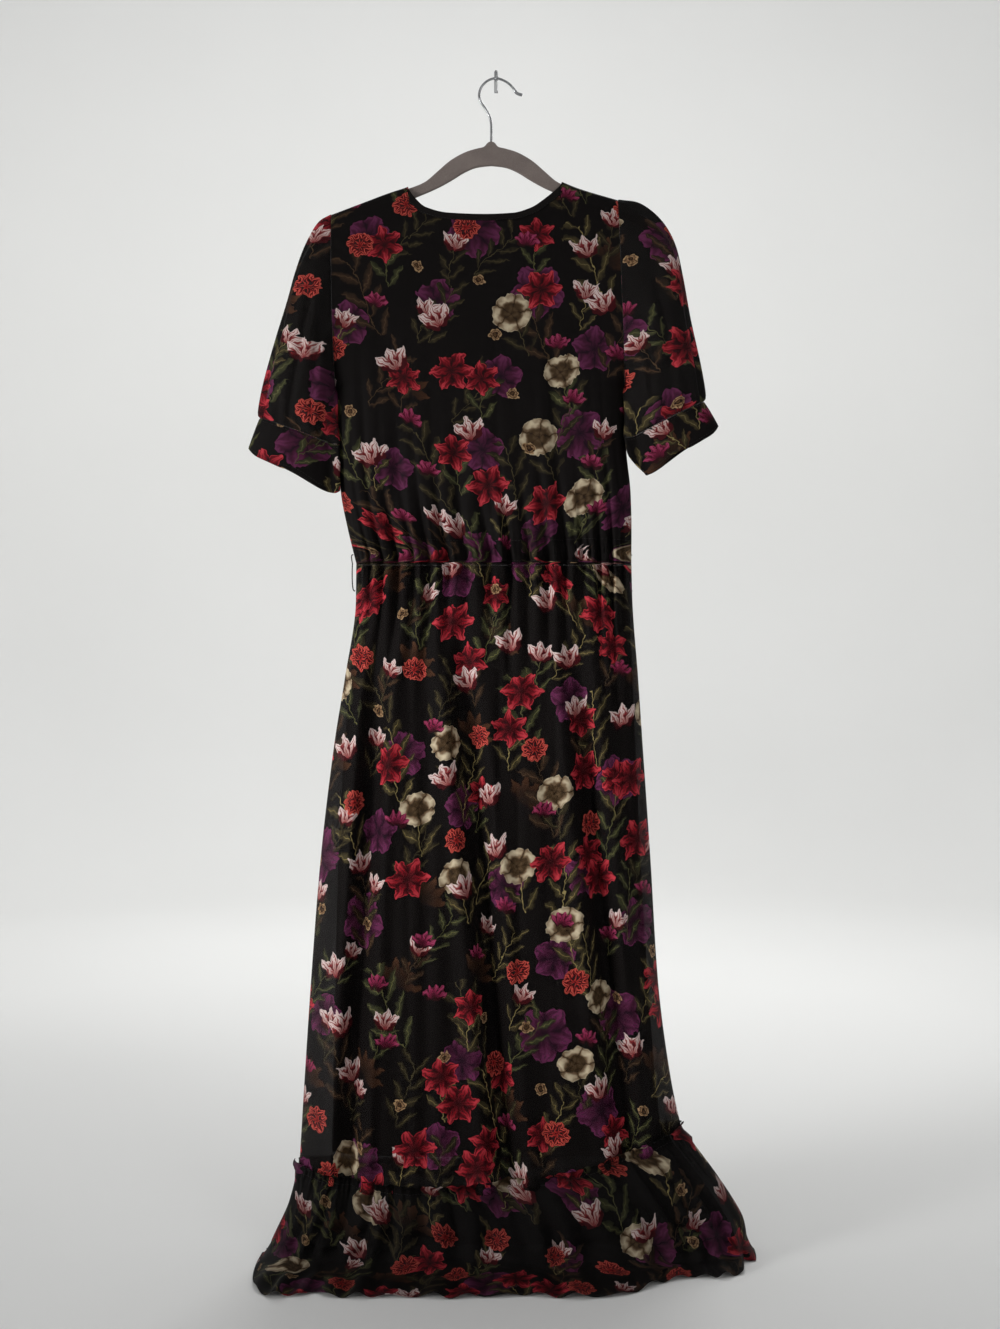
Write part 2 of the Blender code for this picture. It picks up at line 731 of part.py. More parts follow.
def wire_object(name, points, radius, material, collection, sides=2):
    """Round wire along a line of points."""
    curve = bpy.data.curves.new(name, "CURVE")
    curve.dimensions = "3D"
    spline = curve.splines.new("POLY")
    spline.points.add(len(points) - 1)
    for target, point in zip(spline.points, points):
        target.co = (*(Vector(point) * MM), 1.0)
    curve.bevel_depth = radius * MM
    curve.bevel_resolution = sides
    curve.use_fill_caps = True
    curve.materials.append(material)
    item = bpy.data.objects.new(name, curve)
    collection.objects.link(item)
    return item


def rounded_line(points, steps):
    """Smooth line through a few points."""
    line = []
    for index in range(len(points) - 1):
        before = points[max(index - 1, 0)]
        start, end = points[index], points[index + 1]
        after = points[min(index + 2, len(points) - 1)]
        for step in range(steps):
            share = step / steps
            line.append(0.5 * ((2 * start) + (end - before) * share
                               + (2 * before - 5 * start + 4 * end - after) * share ** 2
                               + (3 * start - before - 3 * end + after) * share ** 3))
    line.append(points[-1])
    return line


def hook_line():
    """Centre line of the hanger's wire hook."""
    return rounded_line([Vector((edge.x, HANG_Y, edge.z)) for edge in HOOK_WIRE], WIRE_STEPS)


def make_wall_hook(material, collection):
    """Plate flat on the wall, with a peg that turns up at its end in front of the wire."""
    bpy.ops.mesh.primitive_cube_add(size=1.0, location=(0.0, -0.5 * PLATE_THICK * MM, 0.0))
    plate = bpy.context.active_object
    plate.name = "wall_hook"
    plate.scale = (PLATE_WIDTH * MM, PLATE_THICK * MM, PLATE_HEIGHT * MM)
    bpy.ops.object.transform_apply(location=False, rotation=False, scale=True)
    for owner in list(plate.users_collection):
        owner.objects.unlink(plate)
    collection.objects.link(plate)
    wire_z = max(point.z for point in hook_line())
    peg_z = wire_z - WIRE_RADIUS - PEG_EASE - PEG_RADIUS
    tip_y = HANG_Y - WIRE_RADIUS - TIP_EASE - PEG_RADIUS
    points = [Vector((0.0, PEG_ROOT_Y, peg_z))]
    for step in range(4):
        angle = 0.5 * math.pi * step / 3
        points.append(Vector((0.0, tip_y + PEG_TURN * (1.0 - math.sin(angle)),
                              peg_z + PEG_TURN * (1.0 - math.cos(angle)))))
    points.append(Vector((0.0, tip_y, PEG_TIP_Z)))
    peg_curve = wire_object("peg", points, PEG_RADIUS, material, collection)
    bpy.context.view_layer.update()
    depsgraph = bpy.context.evaluated_depsgraph_get()
    peg_mesh = bpy.data.meshes.new_from_object(peg_curve.evaluated_get(depsgraph))
    work = bmesh.new()
    work.from_mesh(peg_mesh)
    bmesh.ops.remove_doubles(work, verts=work.verts, dist=0.00001)
    bmesh.ops.recalc_face_normals(work, faces=work.faces)
    work.to_mesh(peg_mesh)
    work.free()
    peg = bpy.data.objects.new("peg_cutter", peg_mesh)
    peg.matrix_world = peg_curve.matrix_world
    bpy.data.objects.remove(peg_curve, do_unlink=True)
    cutters = bpy.data.collections.new("cutters")
    bpy.context.scene.collection.children.link(cutters)
    cutters.objects.link(peg)
    peg.hide_render = True
    peg.display_type = "WIRE"
    join = plate.modifiers.new("peg", "BOOLEAN")
    join.operation = "UNION"
    join.object = peg
    plate.data.materials.append(material)


def make_hanger(materials, collection):
    """Slim flocked hanger: one flat outline with rounded edges, and its wire hook."""
    half = [(edge.x, edge.z) for edge in HANGER_TOP] + [(edge.x, edge.z) for edge in HANGER_UNDER]
    mirrored = [(-x, z) for x, z in reversed(half) if x > 0.0]
    outline = half + mirrored
    curve = bpy.data.curves.new("hanger_body", "CURVE")
    curve.dimensions = "2D"
    curve.fill_mode = "BOTH"
    spline = curve.splines.new("POLY")
    spline.points.add(len(outline) - 1)
    for target, (x, z) in zip(spline.points, outline):
        target.co = (x * MM, z * MM, 0.0, 1.0)
    spline.use_cyclic_u = True
    curve.extrude = (0.5 * HANGER_THICK - HANGER_ROUND) * MM
    curve.bevel_depth = HANGER_ROUND * MM
    curve.bevel_resolution = 1
    curve.offset = -HANGER_ROUND * MM
    curve.materials.append(materials["flocked_hanger"])
    body = bpy.data.objects.new("hanger_body", curve)
    body.rotation_euler = (0.5 * math.pi, 0.0, 0.0)
    body.location = (HANGER_X * MM, HANG_Y * MM, 0.0)
    collection.objects.link(body)
    wire_object("hanger_hook", hook_line(), WIRE_RADIUS, materials["polished_wire"], collection)


def standing_loop(z):
    """Centre of the left thread loop at a height: it stands out from the side seam."""
    table = BODICE_SIDES if z > WAIST_Z else SKIRT_LEVELS
    share = (LOOP_TOP_Z - z) / (LOOP_TOP_Z - LOOP_FOOT_Z)
    stand = LOOP_STAND * math.sqrt(math.sin(math.pi * clamp(share)))
    seam_x = read_table(table, "z", "left", z)
    return Vector((seam_x - 0.5 * CLOTH - LOOP_THREAD - LOOP_EASE - stand, SIDE_Y, z))


def along_row(row, distance):
    """Point of a row of a panel, measured from its right end."""
    for index in range(len(row) - 1, 0, -1):
        length = (row[index - 1] - row[index]).length
        if distance <= length:
            return row[index].lerp(row[index - 1], distance / length)
        distance -= length
    return row[0].copy()


def lying_loop(z, bodice, skirt):
    """Centre of the right thread loop at a height: it lies flat on the front by the side seam."""
    rows = bodice if z > WAIST_Z else skirt
    index = next((i for i in range(len(rows) - 2) if rows[i + 1][-1].z <= z), len(rows) - 2)
    share = (LOOP_TOP_Z - z) / (LOOP_TOP_Z - LOOP_FOOT_Z)
    distance = LOOP_FROM_SEAM + LOOP_STAND * math.sqrt(math.sin(math.pi * clamp(share)))
    run = (rows[index][-1].z - z) / (rows[index][-1].z - rows[index + 1][-1].z)

    def place(offset):
        """Point of the panel at this height, a little nearer to or further from the seam."""
        above = along_row(rows[index], distance + offset)
        return above.lerp(along_row(rows[index + 1], distance + offset), run)

    across = place(LOOP_PROBE) - place(-LOOP_PROBE)
    normal = across.cross(Vector((0.0, 0.0, 1.0))).normalized()
    if normal.x + normal.y < 0.0:
        normal.negate()
    return place(0.0) + normal * (0.5 * CLOTH + LOOP_THREAD + LOOP_EASE)


def make_loops(bodice, skirt, material, collection):
    """Both thread loops, from above the waist seam to below it."""
    heights = [blend(LOOP_TOP_Z, LOOP_FOOT_Z, 0.5 - 0.5 * math.cos(math.pi * step / LOOP_STEPS))
               for step in range(LOOP_STEPS + 1)]
    wire_object("belt_loop_left", [standing_loop(z) for z in heights], LOOP_THREAD,
                material, collection, 1)
    wire_object("belt_loop_right", [lying_loop(z, bodice, skirt) for z in heights], LOOP_THREAD,
                material, collection, 1)


def main():
    """Make every piece of the dress, then the hook and the hanger that carry it."""
    collection = clear_scene()
    materials = {name: make_material(name) for name in FINISHES}
    chiffon = materials["printed_chiffon"]
    for name, is_back, neck in (("front", False, FRONT_NECK), ("back", True, BACK_NECK)):
        bodice = bodice_rows(is_back)
        skirt = skirt_rows(is_back)
        grid_object("bodice_" + name, bodice, CLOTH, chiffon, collection)
        grid_object("neck_binding_" + name, binding_rows(bodice, neck), BINDING_CLOTH,
                    chiffon, collection)
        grid_object("skirt_" + name, skirt, CLOTH, chiffon, collection)
        grid_object("slip_" + name, slip_rows(is_back), CLOTH,
                    materials["lining_cloth"], collection)
        grid_object("flounce_" + name, flounce_rows(is_back), CLOTH, chiffon, collection)
        if not is_back:
            make_loops(bodice, skirt, materials["thread"], collection)
    round_columns = SLEEVE_GATHERS * COLUMNS_PER_GATHER
    sides = (("left", -1.0, LEFT_SLEEVE, LEFT_CUFF), ("right", 1.0, RIGHT_SLEEVE, RIGHT_CUFF))
    for name, sign, sleeve, cuff in sides:
        rings = [armhole_ring(sign, round_columns)]
        rings.extend(tube_ring(ring, round_columns, SLEEVE_PHASE) for ring in sleeve)
        grid_object("sleeve_" + name, rings, CLOTH, chiffon, collection, closed=True)
        bands = [tube_ring(ring, round_columns, 0.0) for ring in cuff]
        grid_object("cuff_" + name, bands, CUFF_CLOTH, chiffon, collection, closed=True)
    make_wall_hook(materials["polished_wire"], collection)
    make_hanger(materials, collection)


main()
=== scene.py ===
"""Maxi dress hung by its back view on a slim hanger: its cloth, print, sewing, hanger and hook.

Sizes are in millimetres where nothing else is said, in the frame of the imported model: the wall is the
plane y = 0, the dress hangs in front of it towards -Y, +X is to the right and +Z is up.
"""
import math
from collections import namedtuple

import bpy
import numpy as np
from bpy.props import FloatProperty, IntProperty, PointerProperty
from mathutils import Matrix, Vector


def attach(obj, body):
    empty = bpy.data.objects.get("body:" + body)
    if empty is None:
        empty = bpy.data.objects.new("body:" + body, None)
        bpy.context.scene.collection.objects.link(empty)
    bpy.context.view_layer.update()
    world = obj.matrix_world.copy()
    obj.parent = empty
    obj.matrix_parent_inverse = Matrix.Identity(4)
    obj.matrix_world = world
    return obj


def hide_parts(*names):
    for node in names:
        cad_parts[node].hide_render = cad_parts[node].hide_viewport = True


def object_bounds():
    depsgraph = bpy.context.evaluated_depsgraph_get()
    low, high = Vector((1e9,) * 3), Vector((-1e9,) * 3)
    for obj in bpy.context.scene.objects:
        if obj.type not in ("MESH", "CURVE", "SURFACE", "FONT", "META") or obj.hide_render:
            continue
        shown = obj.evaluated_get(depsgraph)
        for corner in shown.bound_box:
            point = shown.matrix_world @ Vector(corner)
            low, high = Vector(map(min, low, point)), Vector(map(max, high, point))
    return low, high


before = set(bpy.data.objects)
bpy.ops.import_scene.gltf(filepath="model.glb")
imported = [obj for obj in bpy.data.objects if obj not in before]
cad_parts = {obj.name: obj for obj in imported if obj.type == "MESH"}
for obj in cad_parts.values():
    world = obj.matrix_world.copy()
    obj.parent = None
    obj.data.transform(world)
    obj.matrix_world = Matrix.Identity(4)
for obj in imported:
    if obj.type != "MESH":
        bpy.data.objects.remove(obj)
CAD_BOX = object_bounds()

bl_info = {
    "name": "Maxi dress on a hanger",
    "version": (1, 0, 0),
    "blender": (4, 5, 0),
    "location": "3D View > Sidebar > Dress",
    "description": "Models a printed chiffon maxi dress on its hanger, piece by piece",
    "category": "Object",
}

MM = 0.001
BODY = "root"


def rows_of(kind, *rows):
    """Table whose rows are all of one kind."""
    return tuple(kind(*row) for row in rows)


# Hang of the cloth, seams and side seams
SEAM_EASE = 0.15
SLEEVE_EASE = 0.5
HANG_Y = -38.0
SIDE_Y = -40.0
WAIST_Z = -601.0
UNDERARM_Z = -385.0

# Gathers: three steps of a panel's columns to each; two swings of their place, then one of their size
SKIRT_STEPS = 54
SLEEVE_STEPS = 30
STEPS_PER_GATHER = 3
GATHER_DEPTH = 3.0
SKIRT_GATHER_RUN = 70.0
BODICE_GATHER_RUN = 45.0
Swing = namedtuple("Swing", "size pace turn")
GATHER_SWINGS = rows_of(Swing, (0.55, 0.37, 1.0), (0.3, 0.83, 0.0), (0.22, 0.71, 2.0))
RIPPLE_SWINGS = rows_of(Swing, (0.8, 0.29, 1.0), (0.5, 0.61, 1.7), (0.3, 0.47, 0.6))
SKIRT_PHASE = 0.4
BODICE_PHASE = 0.9
SLEEVE_PHASE = 0.6
FLOUNCE_PHASE = 1.1
PHASE_PER_ROW = 0.25
EVEN_SHARE = 0.45
FINE_COLUMNS = 1081
BODICE_FADE = 1.0 / 8.0
SKIRT_FADE = 1.0 / 12.0
FLOUNCE_FADE = 1.0 / 14.0

# Slow unevenness of hanging cloth: its size, its length across and down, and its turn
SWAYS = ((0.5, 31.0, 97.0, 1.0), (0.3, 17.0, -143.0, 2.1), (0.2, 11.0, 61.0, 3.7))
SKIRT_SWAY = 0.9
BODICE_SWAY = 0.8
SLIP_SWAY = 0.8
SLIP_PHASE = 0.7
SWAY_START = 60.0
SWAY_RUN = 120.0

# Outline of the upper body below the shoulders
Side = namedtuple("Side", "z left right")
BODICE_SIDES = rows_of(
    Side, (-157, -200.5, 148), (-250, -199, 151), (-385, -195.5, 156), (-461, -193.5, 158.5),
    (-517, -188.5, 164), (-558, -180.5, 165), (-601, -170, 164.8),
)

# Top edges, from the left armhole to the right one
Edge = namedtuple("Edge", "x z")
SHOULDER_LINE = rows_of(
    Edge, (-200.5, -175.3), (-166, -162.2), (-129.3, -148.4), (-107.4, -141.1), (-60, -117), (-13, -100),
    (35, -112), (80.5, -135), (101.3, -143.4), (148, -157.4),
)
SHOULDER_COLUMNS = (0.0, 0.05, 0.14, 0.27, 0.42, 0.58, 0.74, 0.89)
NECK_COLUMNS = 18
BODICE_FINER = 7
BINDING_ROWS = 4
BODICE_ROWS = 110
BINDING_DROP = 8.0
ROW_CROWDING = 1.15
MOST_STRETCH = 2.3

# Depth of the upper body: over the hanger, then out to the hang of the cloth; its sides and its armholes
TURN_DEPTH = 3.9
TURN_RUN = 1.4
HANG_RUN = 38.0
SIDE_ROUND = 7.0
SETTLE_SHARE = 1.0 / 3.0
ARMHOLE_RUN = 70.0

# Folds and creases of the panels, by place and size; a ridge has a negative depth
Fold = namedtuple("Fold", "x_top x_low z_top z_low width depth")
FOLD_START = 0.25
SKIRT_CREASE_SHARE = 0.95

# Each panel of the dress: the way it faces out along Y, its neckline, how deep its bodice and its waist
# seam are, its folds and creases, and how strong its flounce's waves and level creases are
Panel = namedtuple("Panel", "name out neck reach waist_seam bodice_folds bodice_creases skirt_folds"
                            " skirt_creases waves slump")
BACK = Panel(
    name="back", out=-1.0, reach=21.0, waist_seam=22.0, waves=1.0, slump=1.0,
    neck=rows_of(
        Edge, (-107.4, -141.1), (-105.5, -146.5), (-100, -155.5), (-85.4, -170), (-58.6, -177.5),
        (-14.6, -179.6), (19.5, -178), (41.5, -171.5), (61, -158), (74, -146), (78.6, -140.5),
        (80.5, -135),
    ),
    bodice_folds=rows_of(
        Fold, (-118, -128, -430, -601, 11, 3.5), (-44, -42, -420, -601, 11, 4.5),
        (-8, -6, -480, -601, 9, 3.5), (38, 36, -400, -601, 10, 3), (66, 84, -300, -601, 12, 4),
    ),
    bodice_creases=rows_of(
        Fold, (-168, -150, -330, -590, 7, 1.6), (-146, -136, -470, -601, 6, 1.6),
        (-92, -86, -505, -601, 6, 1.8), (-70, -64, -380, -601, 9, 1.4), (-24, -26, -500, -601, 6, 1.6),
        (14, 12, -490, -601, 6, 1.8), (52, 58, -470, -601, 6, 1.4), (104, 112, -420, -601, 8, 1.9),
        (132, 138, -470, -601, 6, 1.6), (-182, -120, -230, -360, 12, 1.3), (126, 92, -230, -350, 12, 1.4),
    ),
    skirt_folds=rows_of(
        Fold, (-139, -178, -640, -1350, 17, 13), (-52, 15, -615, -1350, 17, 14),
        (88, 158, -650, -1350, 17, 13), (-77, -84, -610, -760, 10, 5), (160, 196, -900, -1280, 12, 6),
        (-95, -82, -700, -1350, 34, -5), (18, 86, -700, -1350, 34, -5), (-165, -205, -700, -1350, 16, -3),
    ),
    skirt_creases=rows_of(
        Fold, (-139, -178, -640, -1350, 9, 6.5), (-52, 15, -615, -1350, 10, 8),
        (88, 158, -650, -1350, 9, 7), (-157, -198, -650, -1350, 8, -6), (-118, -154, -630, -1350, 11, -8),
        (-74, -10, -620, -1350, 11, -8.5), (-30, 42, -620, -1350, 11, -9),
        (66, 132, -640, -1350, 11, -8.5), (110, 184, -640, -1350, 10, -7),
        (-157, -206, -608, -1180, 7, 2.4), (-116, -140, -606, -860, 7, 2.2),
        (-98, -104, -606, -760, 6, 2.2), (-34, -8, -606, -820, 6, 2.4), (-14, 4, -606, -720, 5, 2),
        (8, 26, -606, -800, 6, 2.4), (30, 62, -606, -900, 7, 2.2), (54, 72, -606, -740, 5, 2),
        (112, 138, -606, -830, 7, 2.2), (136, 160, -606, -960, 7, 2.6), (-128, -112, -980, -1340, 10, 2.6),
        (-60, -44, -1010, -1345, 9, 2.4), (46, 66, -1040, -1340, 10, 2.6),
        (118, 128, -1010, -1320, 9, 2.4), (176, 206, -760, -1290, 8, 2),
    ),
)
FRONT = Panel(
    name="front", out=1.0, reach=17.0, waist_seam=18.0, waves=0.4, slump=0.5,
    neck=rows_of(
        Edge, (-107.4, -141.1), (-105.5, -146.5), (-97, -168), (-70, -222), (-40, -281), (-19, -320),
        (-13, -326), (-7, -320), (14, -281), (44, -222), (70, -168), (78.6, -140.5), (80.5, -135),
    ),
    bodice_folds=rows_of(
        Fold, (-110, -120, -420, -601, 12, 3.5), (-60, -52, -440, -601, 10, 3.5),
        (30, 26, -440, -601, 10, 3.5), (96, 104, -410, -601, 12, 3.5),
    ),
    bodice_creases=rows_of(
        Fold, (-150, -142, -450, -601, 7, 1.6), (-86, -80, -500, -601, 6, 1.6),
        (-30, -24, -520, -601, 6, 1.6), (4, 4, -500, -601, 6, 1.5), (58, 62, -470, -601, 7, 1.6),
        (128, 134, -460, -601, 7, 1.6),
    ),
    skirt_folds=rows_of(
        Fold, (-128, -170, -640, -1350, 18, 8), (-40, -62, -615, -1350, 17, 9),
        (34, 48, -640, -1350, 17, 8), (110, 160, -620, -1350, 18, 9), (-84, -116, -700, -1350, 30, -3),
        (0, -8, -700, -1350, 30, -3), (72, 104, -700, -1350, 30, -3),
    ),
    skirt_creases=rows_of(
        Fold, (-150, -196, -606, -1100, 7, 2.2), (-104, -118, -606, -820, 6, 2),
        (-66, -84, -606, -900, 6, 2), (-12, -22, -606, -760, 6, 2.2), (14, 22, -606, -880, 6, 2),
        (60, 84, -606, -800, 6, 2), (86, 112, -606, -940, 6, 2.2), (140, 176, -606, -1080, 7, 2.2),
    ),
)
PANELS = (BACK, FRONT)

# Skirt: outline and hang of both panels, and the seam of the flounce; then its lining
Level = namedtuple("Level", "z left right back front")
SKIRT_LEVELS = rows_of(
    Level,
    (-601, -170, 164.8, -62, -22),
    (-646, -170.5, 166, -65, -19),
    (-741, -184, 173, -71, -17),
    (-815, -196, 178, -76, -16),
    (-961, -213.5, 188, -83, -15),
    (-1107, -225, 197, -88, -15),
    (-1229, -233, 213, -91, -15),
    (-1345, -240, 240, -93, -15),
)
SKIRT_ROUND = 4.5
SKIRT_ROW_CROWDING = 1.15
SeamLine = namedtuple("SeamLine", "left middle right")
FLOUNCE_SEAM = SeamLine(-1335, -1347, -1290)
SKIRT_END_BELOW_SEAM = 4.0
SLIP_LEVELS = rows_of(
    Level,
    (-604, -167.9, 162.7, -56, -28),
    (-660, -168.4, 163.4, -56, -30),
    (-741, -178, 166.5, -58, -30),
    (-961, -192, 176, -62, -30),
    (-1180, -197, 190, -66, -30),
    (-1315, -199.5, 203, -68, -30),
)
SLIP_ROWS = 70
SLIP_COLUMNS = 2 * SKIRT_STEPS + 1
SLIP_CLEAR = 1.6
SLIP_CLEAR_ROUND = 8

# Flounce from heading to hem: sides, then the middle of the back and of the front
Ruffle = namedtuple("Ruffle", "x_left z_left x_right z_right y_side y_back z_back y_front z_front wave")
FLOUNCE_ROWS = rows_of(
    Ruffle,
    (-241, -1325, 231, -1280, -41, -95, -1337, -10, -1331, 3),
    (-242, -1335, 235, -1290, -41, -95, -1347, -10, -1341, 1.6),
    (-252, -1378, 268, -1343, -45, -99, -1382, -12, -1380, 5),
    (-268, -1413, 297, -1388, -50, -107, -1411, -14, -1412, 7),
    (-270, -1424, 303, -1413, -52, -135, -1425, -20, -1425, 6),
    (-274, -1429, 308, -1425, -54, -172, -1429, -33, -1429, 4),
    (-278, -1430, 312, -1430, -56, -206, -1430, -46, -1430, 3),
)
HEADING_SHARES = (0.85, 1.0)
HEM_ROUND = 14.0
FLOUNCE_OFF_SKIRT = 1.7
HEADING_ROWS = 2
FOLLOW_ROWS = 3
ROUND_ROWS = 4
CREASE_ROW = 3
FLOOR_ROW = 5
FLOUNCE_FINER = 9
HEM_LIFT = 0.9
SPREAD_RIGHT = 0.42
SPREAD_START = 0.35
SPREAD_RUN = 0.4
TOE_LEFT = 14.0
TOE_POWER = 8

# Sleeves and cuffs: the outer line, the line under the arm, and half the depth of the tube
Ring = namedtuple("Ring", "x_out z_out x_in z_in y depth wave")
SLEEVE_SIDES = 180
SLEEVE_FINER = 9
CUFF_SIDES = 144
CUFF_FINER = 10
# Each arm: the way out along X, and its rings
Arm = namedtuple("Arm", "name out sleeve cuff")
ARMS = (
    Arm(
        name="left", out=-1.0,
        sleeve=rows_of(
            Ring,
            (-216.5, -188, -197.6, -394, -38.5, 27, 0.8),
            (-231.5, -214.5, -198.2, -402, -40, 31, 0.8),
            (-243.5, -246, -198.6, -411, -41.5, 33, 0.4),
            (-254, -284, -198.8, -420, -42, 34, 0.3),
            (-268.5, -333, -198.8, -430, -42, 34, 0.6),
            (-281, -384, -198.4, -441, -42, 33, 1.6),
            (-287, -424, -197.4, -457, -42, 25, 2.4),
        ),
        cuff=rows_of(
            Ring,
            (-287.4, -424.9, -197.3, -458.2, -42, 25, 0),
            (-293.5, -442, -197, -484, -42, 25, 0),
            (-301, -460.5, -195.5, -513, -42, 26, 0),
        ),
    ),
    Arm(
        name="right", out=1.0,
        sleeve=rows_of(
            Ring,
            (175, -164.8, 159, -393, -38.5, 27, 0.8),
            (200, -184.5, 160.6, -400, -40, 31, 0.8),
            (217, -212, 161.8, -408, -41.5, 33, 0.4),
            (226.5, -250, 162.6, -416, -42, 34, 0.3),
            (236, -305, 163.2, -425, -42, 34, 0.6),
            (247, -362, 163.6, -436, -42, 33, 1.6),
            (252.5, -404, 163.8, -449, -42, 25, 2.4),
        ),
        cuff=rows_of(
            Ring,
            (253, -404.9, 164.1, -450.2, -42, 25, 0),
            (261.5, -419, 170, -469.5, -42, 25, 0),
            (270.5, -433.5, 181.5, -491, -42, 26, 0),
        ),
    ),
)

# Cloth by kind: its materials outside and inside, and where its back or left piece and its front or right
# piece lie on the printed cloth, in metres
CLOTHS = {
    "bodice": (("printed_lined", "binding_cloth"), (0.9, -1.4), (1.9, -1.5)),
    "neck": (("binding_cloth", "binding_cloth"), (0.0, 3.0), (0.0, 3.0)),
    "sleeve": (("printed_gathered", "plain_chiffon"), (-0.62, -2.71), (1.37, -2.66)),
    "cuff": (("printed_lined", "binding_cloth"), (-0.83, -3.10), (1.2, -3.4)),
    "skirt": (("printed_chiffon", "plain_chiffon"), (0.0, 0.0), (2.3, 0.11)),
    "slip": (("lining_cloth", "lining_cloth"), (0.0, 0.0), (0.0, 0.0)),
    "flounce": (("printed_bunched", "plain_chiffon"), (0.4, 1.9), (-2.1, 2.3)),
}

# Small gathers at the waist, the seam they run into and the elastic casing over it
FINE_GATHER = 1.8
FINE_GATHER_RUN = 34.0
FULL_GATHER = 5.2
FULL_RUN = 70.0
SEAM_WAVE = 5.6
SEAM_RUN = 1.2
CASING_TOP_Z = -575.0
CASING_FOOT_Z = -598.5
CASING_PUFF = 1.5
# Ripples laid over each other: the size, pace and phase of each
CASING_RIPPLES = ((1.6, 1.0, 0.3), (1.6, 1.7, 1.1))
CASING_PINCH = 2.0
CASING_LINE = 2.0

# Folds of a sleeve by angle round it from its outer line, and by share of the way down
SleeveFold = namedtuple("SleeveFold", "angle_top angle_low run_top run_low width depth")
SLEEVE_FOLDS = rows_of(
    SleeveFold, (1.15, 1.45, 0.15, 1, 0.17, 6), (0.72, 0.80, 0, 0.55, 0.12, 2.6),
    (1.75, 2.05, 0.1, 0.95, 0.15, 4.2), (0.45, 0.55, 0.55, 1, 0.12, 3), (2.45, 2.6, 0.3, 1, 0.14, 3),
    (-0.75, -0.95, 0.1, 1, 0.16, 4.5), (-1.6, -1.75, 0.15, 1, 0.16, 5), (-2.3, -2.35, 0.25, 1, 0.15, 3.5),
)
SLEEVE_FADE = 0.35
SLEEVE_FOLD_START = 0.3
SLEEVE_FOLD_END = 0.12
SLEEVE_FOLD_PAST = 0.02
SLEEVE_FOLD_LEFT = 0.25
CAP_GATHER = 1.5
CAP_GATHER_RUN = 22.0
CAP_START = 3.0
CUFF_GATHER = 1.6
CUFF_GATHER_PHASE = 1.3
CUFF_GATHER_RUN = 16.0
CUFF_WIDE_GATHER = 1.28
CUFF_WIDE_PHASE = 0.2
CUFF_WIDE_RUN = 60.0
CUFF_PINCH_RUN = 2.5

# How far the line under the arm laps over the side of the bodice, by height on each side
Tuck = namedtuple("Tuck", "z left right")
TUCKS = rows_of(
    Tuck, (-384, 0, 0), (-396, 5.5, 5.5), (-418, 7, 7), (-450, 7.5, 8.5), (-470, 7.5, 9.5), (-482, 7.5, 6),
    (-493, 7, 0), (-520, 6.5, 0),
)
TUCK_LIFT = 1.45
TUCK_BACK = 0.55
TUCK_FRONT = 0.14

# Drop of the cuff's lower edge below a straight line, by angle round it from the outer line
CuffDrop = namedtuple("CuffDrop", "angle drop")
CUFF_DROPS = rows_of(
    CuffDrop, (-3.15, 0), (-2.3, 5), (-1.4, 1.5), (-0.7, 4), (0, 0), (0.75, 6.5), (1.3, 6), (1.75, 1.5),
    (2.3, 6.5), (2.8, 5), (3.15, 0),
)
CUFF_PUFF = 0.9
CUFF_ROLL = 0.5
CUFF_RIPPLE = 0.25
CUFF_RIPPLE_PHASE = 0.8

# Heading and foot of the flounce
FLOUNCE_GATHER_RUN = 30.0
HEADING_RIPPLES = ((1.8, 1.0, 2.1), (1.26, 1.9, 0.4))
HEADING_ROW = 9
FRILL_PACE = 1.3
FRILL_PHASE = 0.9
FRILL_SHARE = 0.6
HEADING_FRILL = 1.3
HEADING_LEAN = 0.22
HEADING_RUN = 8.0
CORNER_X = 287.0
CORNER_RUN = 7.0
CORNER_BACK = 45.0
CORNER_TOP_Z = -1412.0
CORNER_DROP = 10.0
CORNER_START = 95.0
CORNER_DEPTH = 50.0
FLOOR_Z = -1431.0
FLOOR_RUN = 6.0
# Uneven places of the flounce: how far out to the side, towards the viewer and up, at a place
Lump = namedtuple("Lump", "x z half_x half_z aside ahead up")
FLOUNCE_LUMPS = rows_of(
    Lump,
    (-240, -1330, 7, 7, -7, 0, 0),
    (-236, -1343, 8, 6, -3, 0, 0),
    (230, -1279, 6, 5, 4, 0, 0),
    (236, -1297, 7, 5, 5, 0, 0),
    (-268, -1429, 24, 9, -3, 15, 3),
    (-246, -1426, 12, 7, 0, 11, 5),
    (-203, -1428, 9, 8, 0, -13, 1.5),
    (-150, -1427, 16, 6, 0, 4, 3.5),
    (-52, -1427, 22, 6, 0, 5, 3),
    (34, -1427, 14, 6, 0, -5, 2),
    (92, -1427, 18, 6, 0, 6, 3.5),
    (190, -1427, 22, 6, 0, -6, 2.5),
    (262, -1427, 16, 6, 0, 5, 3),
)
# Level creases of the flounce's foot, where the cloth slumps on the floor: a ridge has a negative depth
Slump = namedtuple("Slump", "x_left x_right z_left z_right half_z depth")
FLOUNCE_SLUMPS = rows_of(
    Slump, (-275, -140, -1390, -1399, 6, 5.5), (-280, -100, -1403, -1410, 5, -7),
    (-130, -10, -1396, -1411, 6, 5), (-70, 70, -1409, -1416, 5, -5.5), (30, 160, -1414, -1402, 5, 5),
    (110, 275, -1411, -1397, 6, -7), (140, 265, -1395, -1384, 6, 5.5),
)

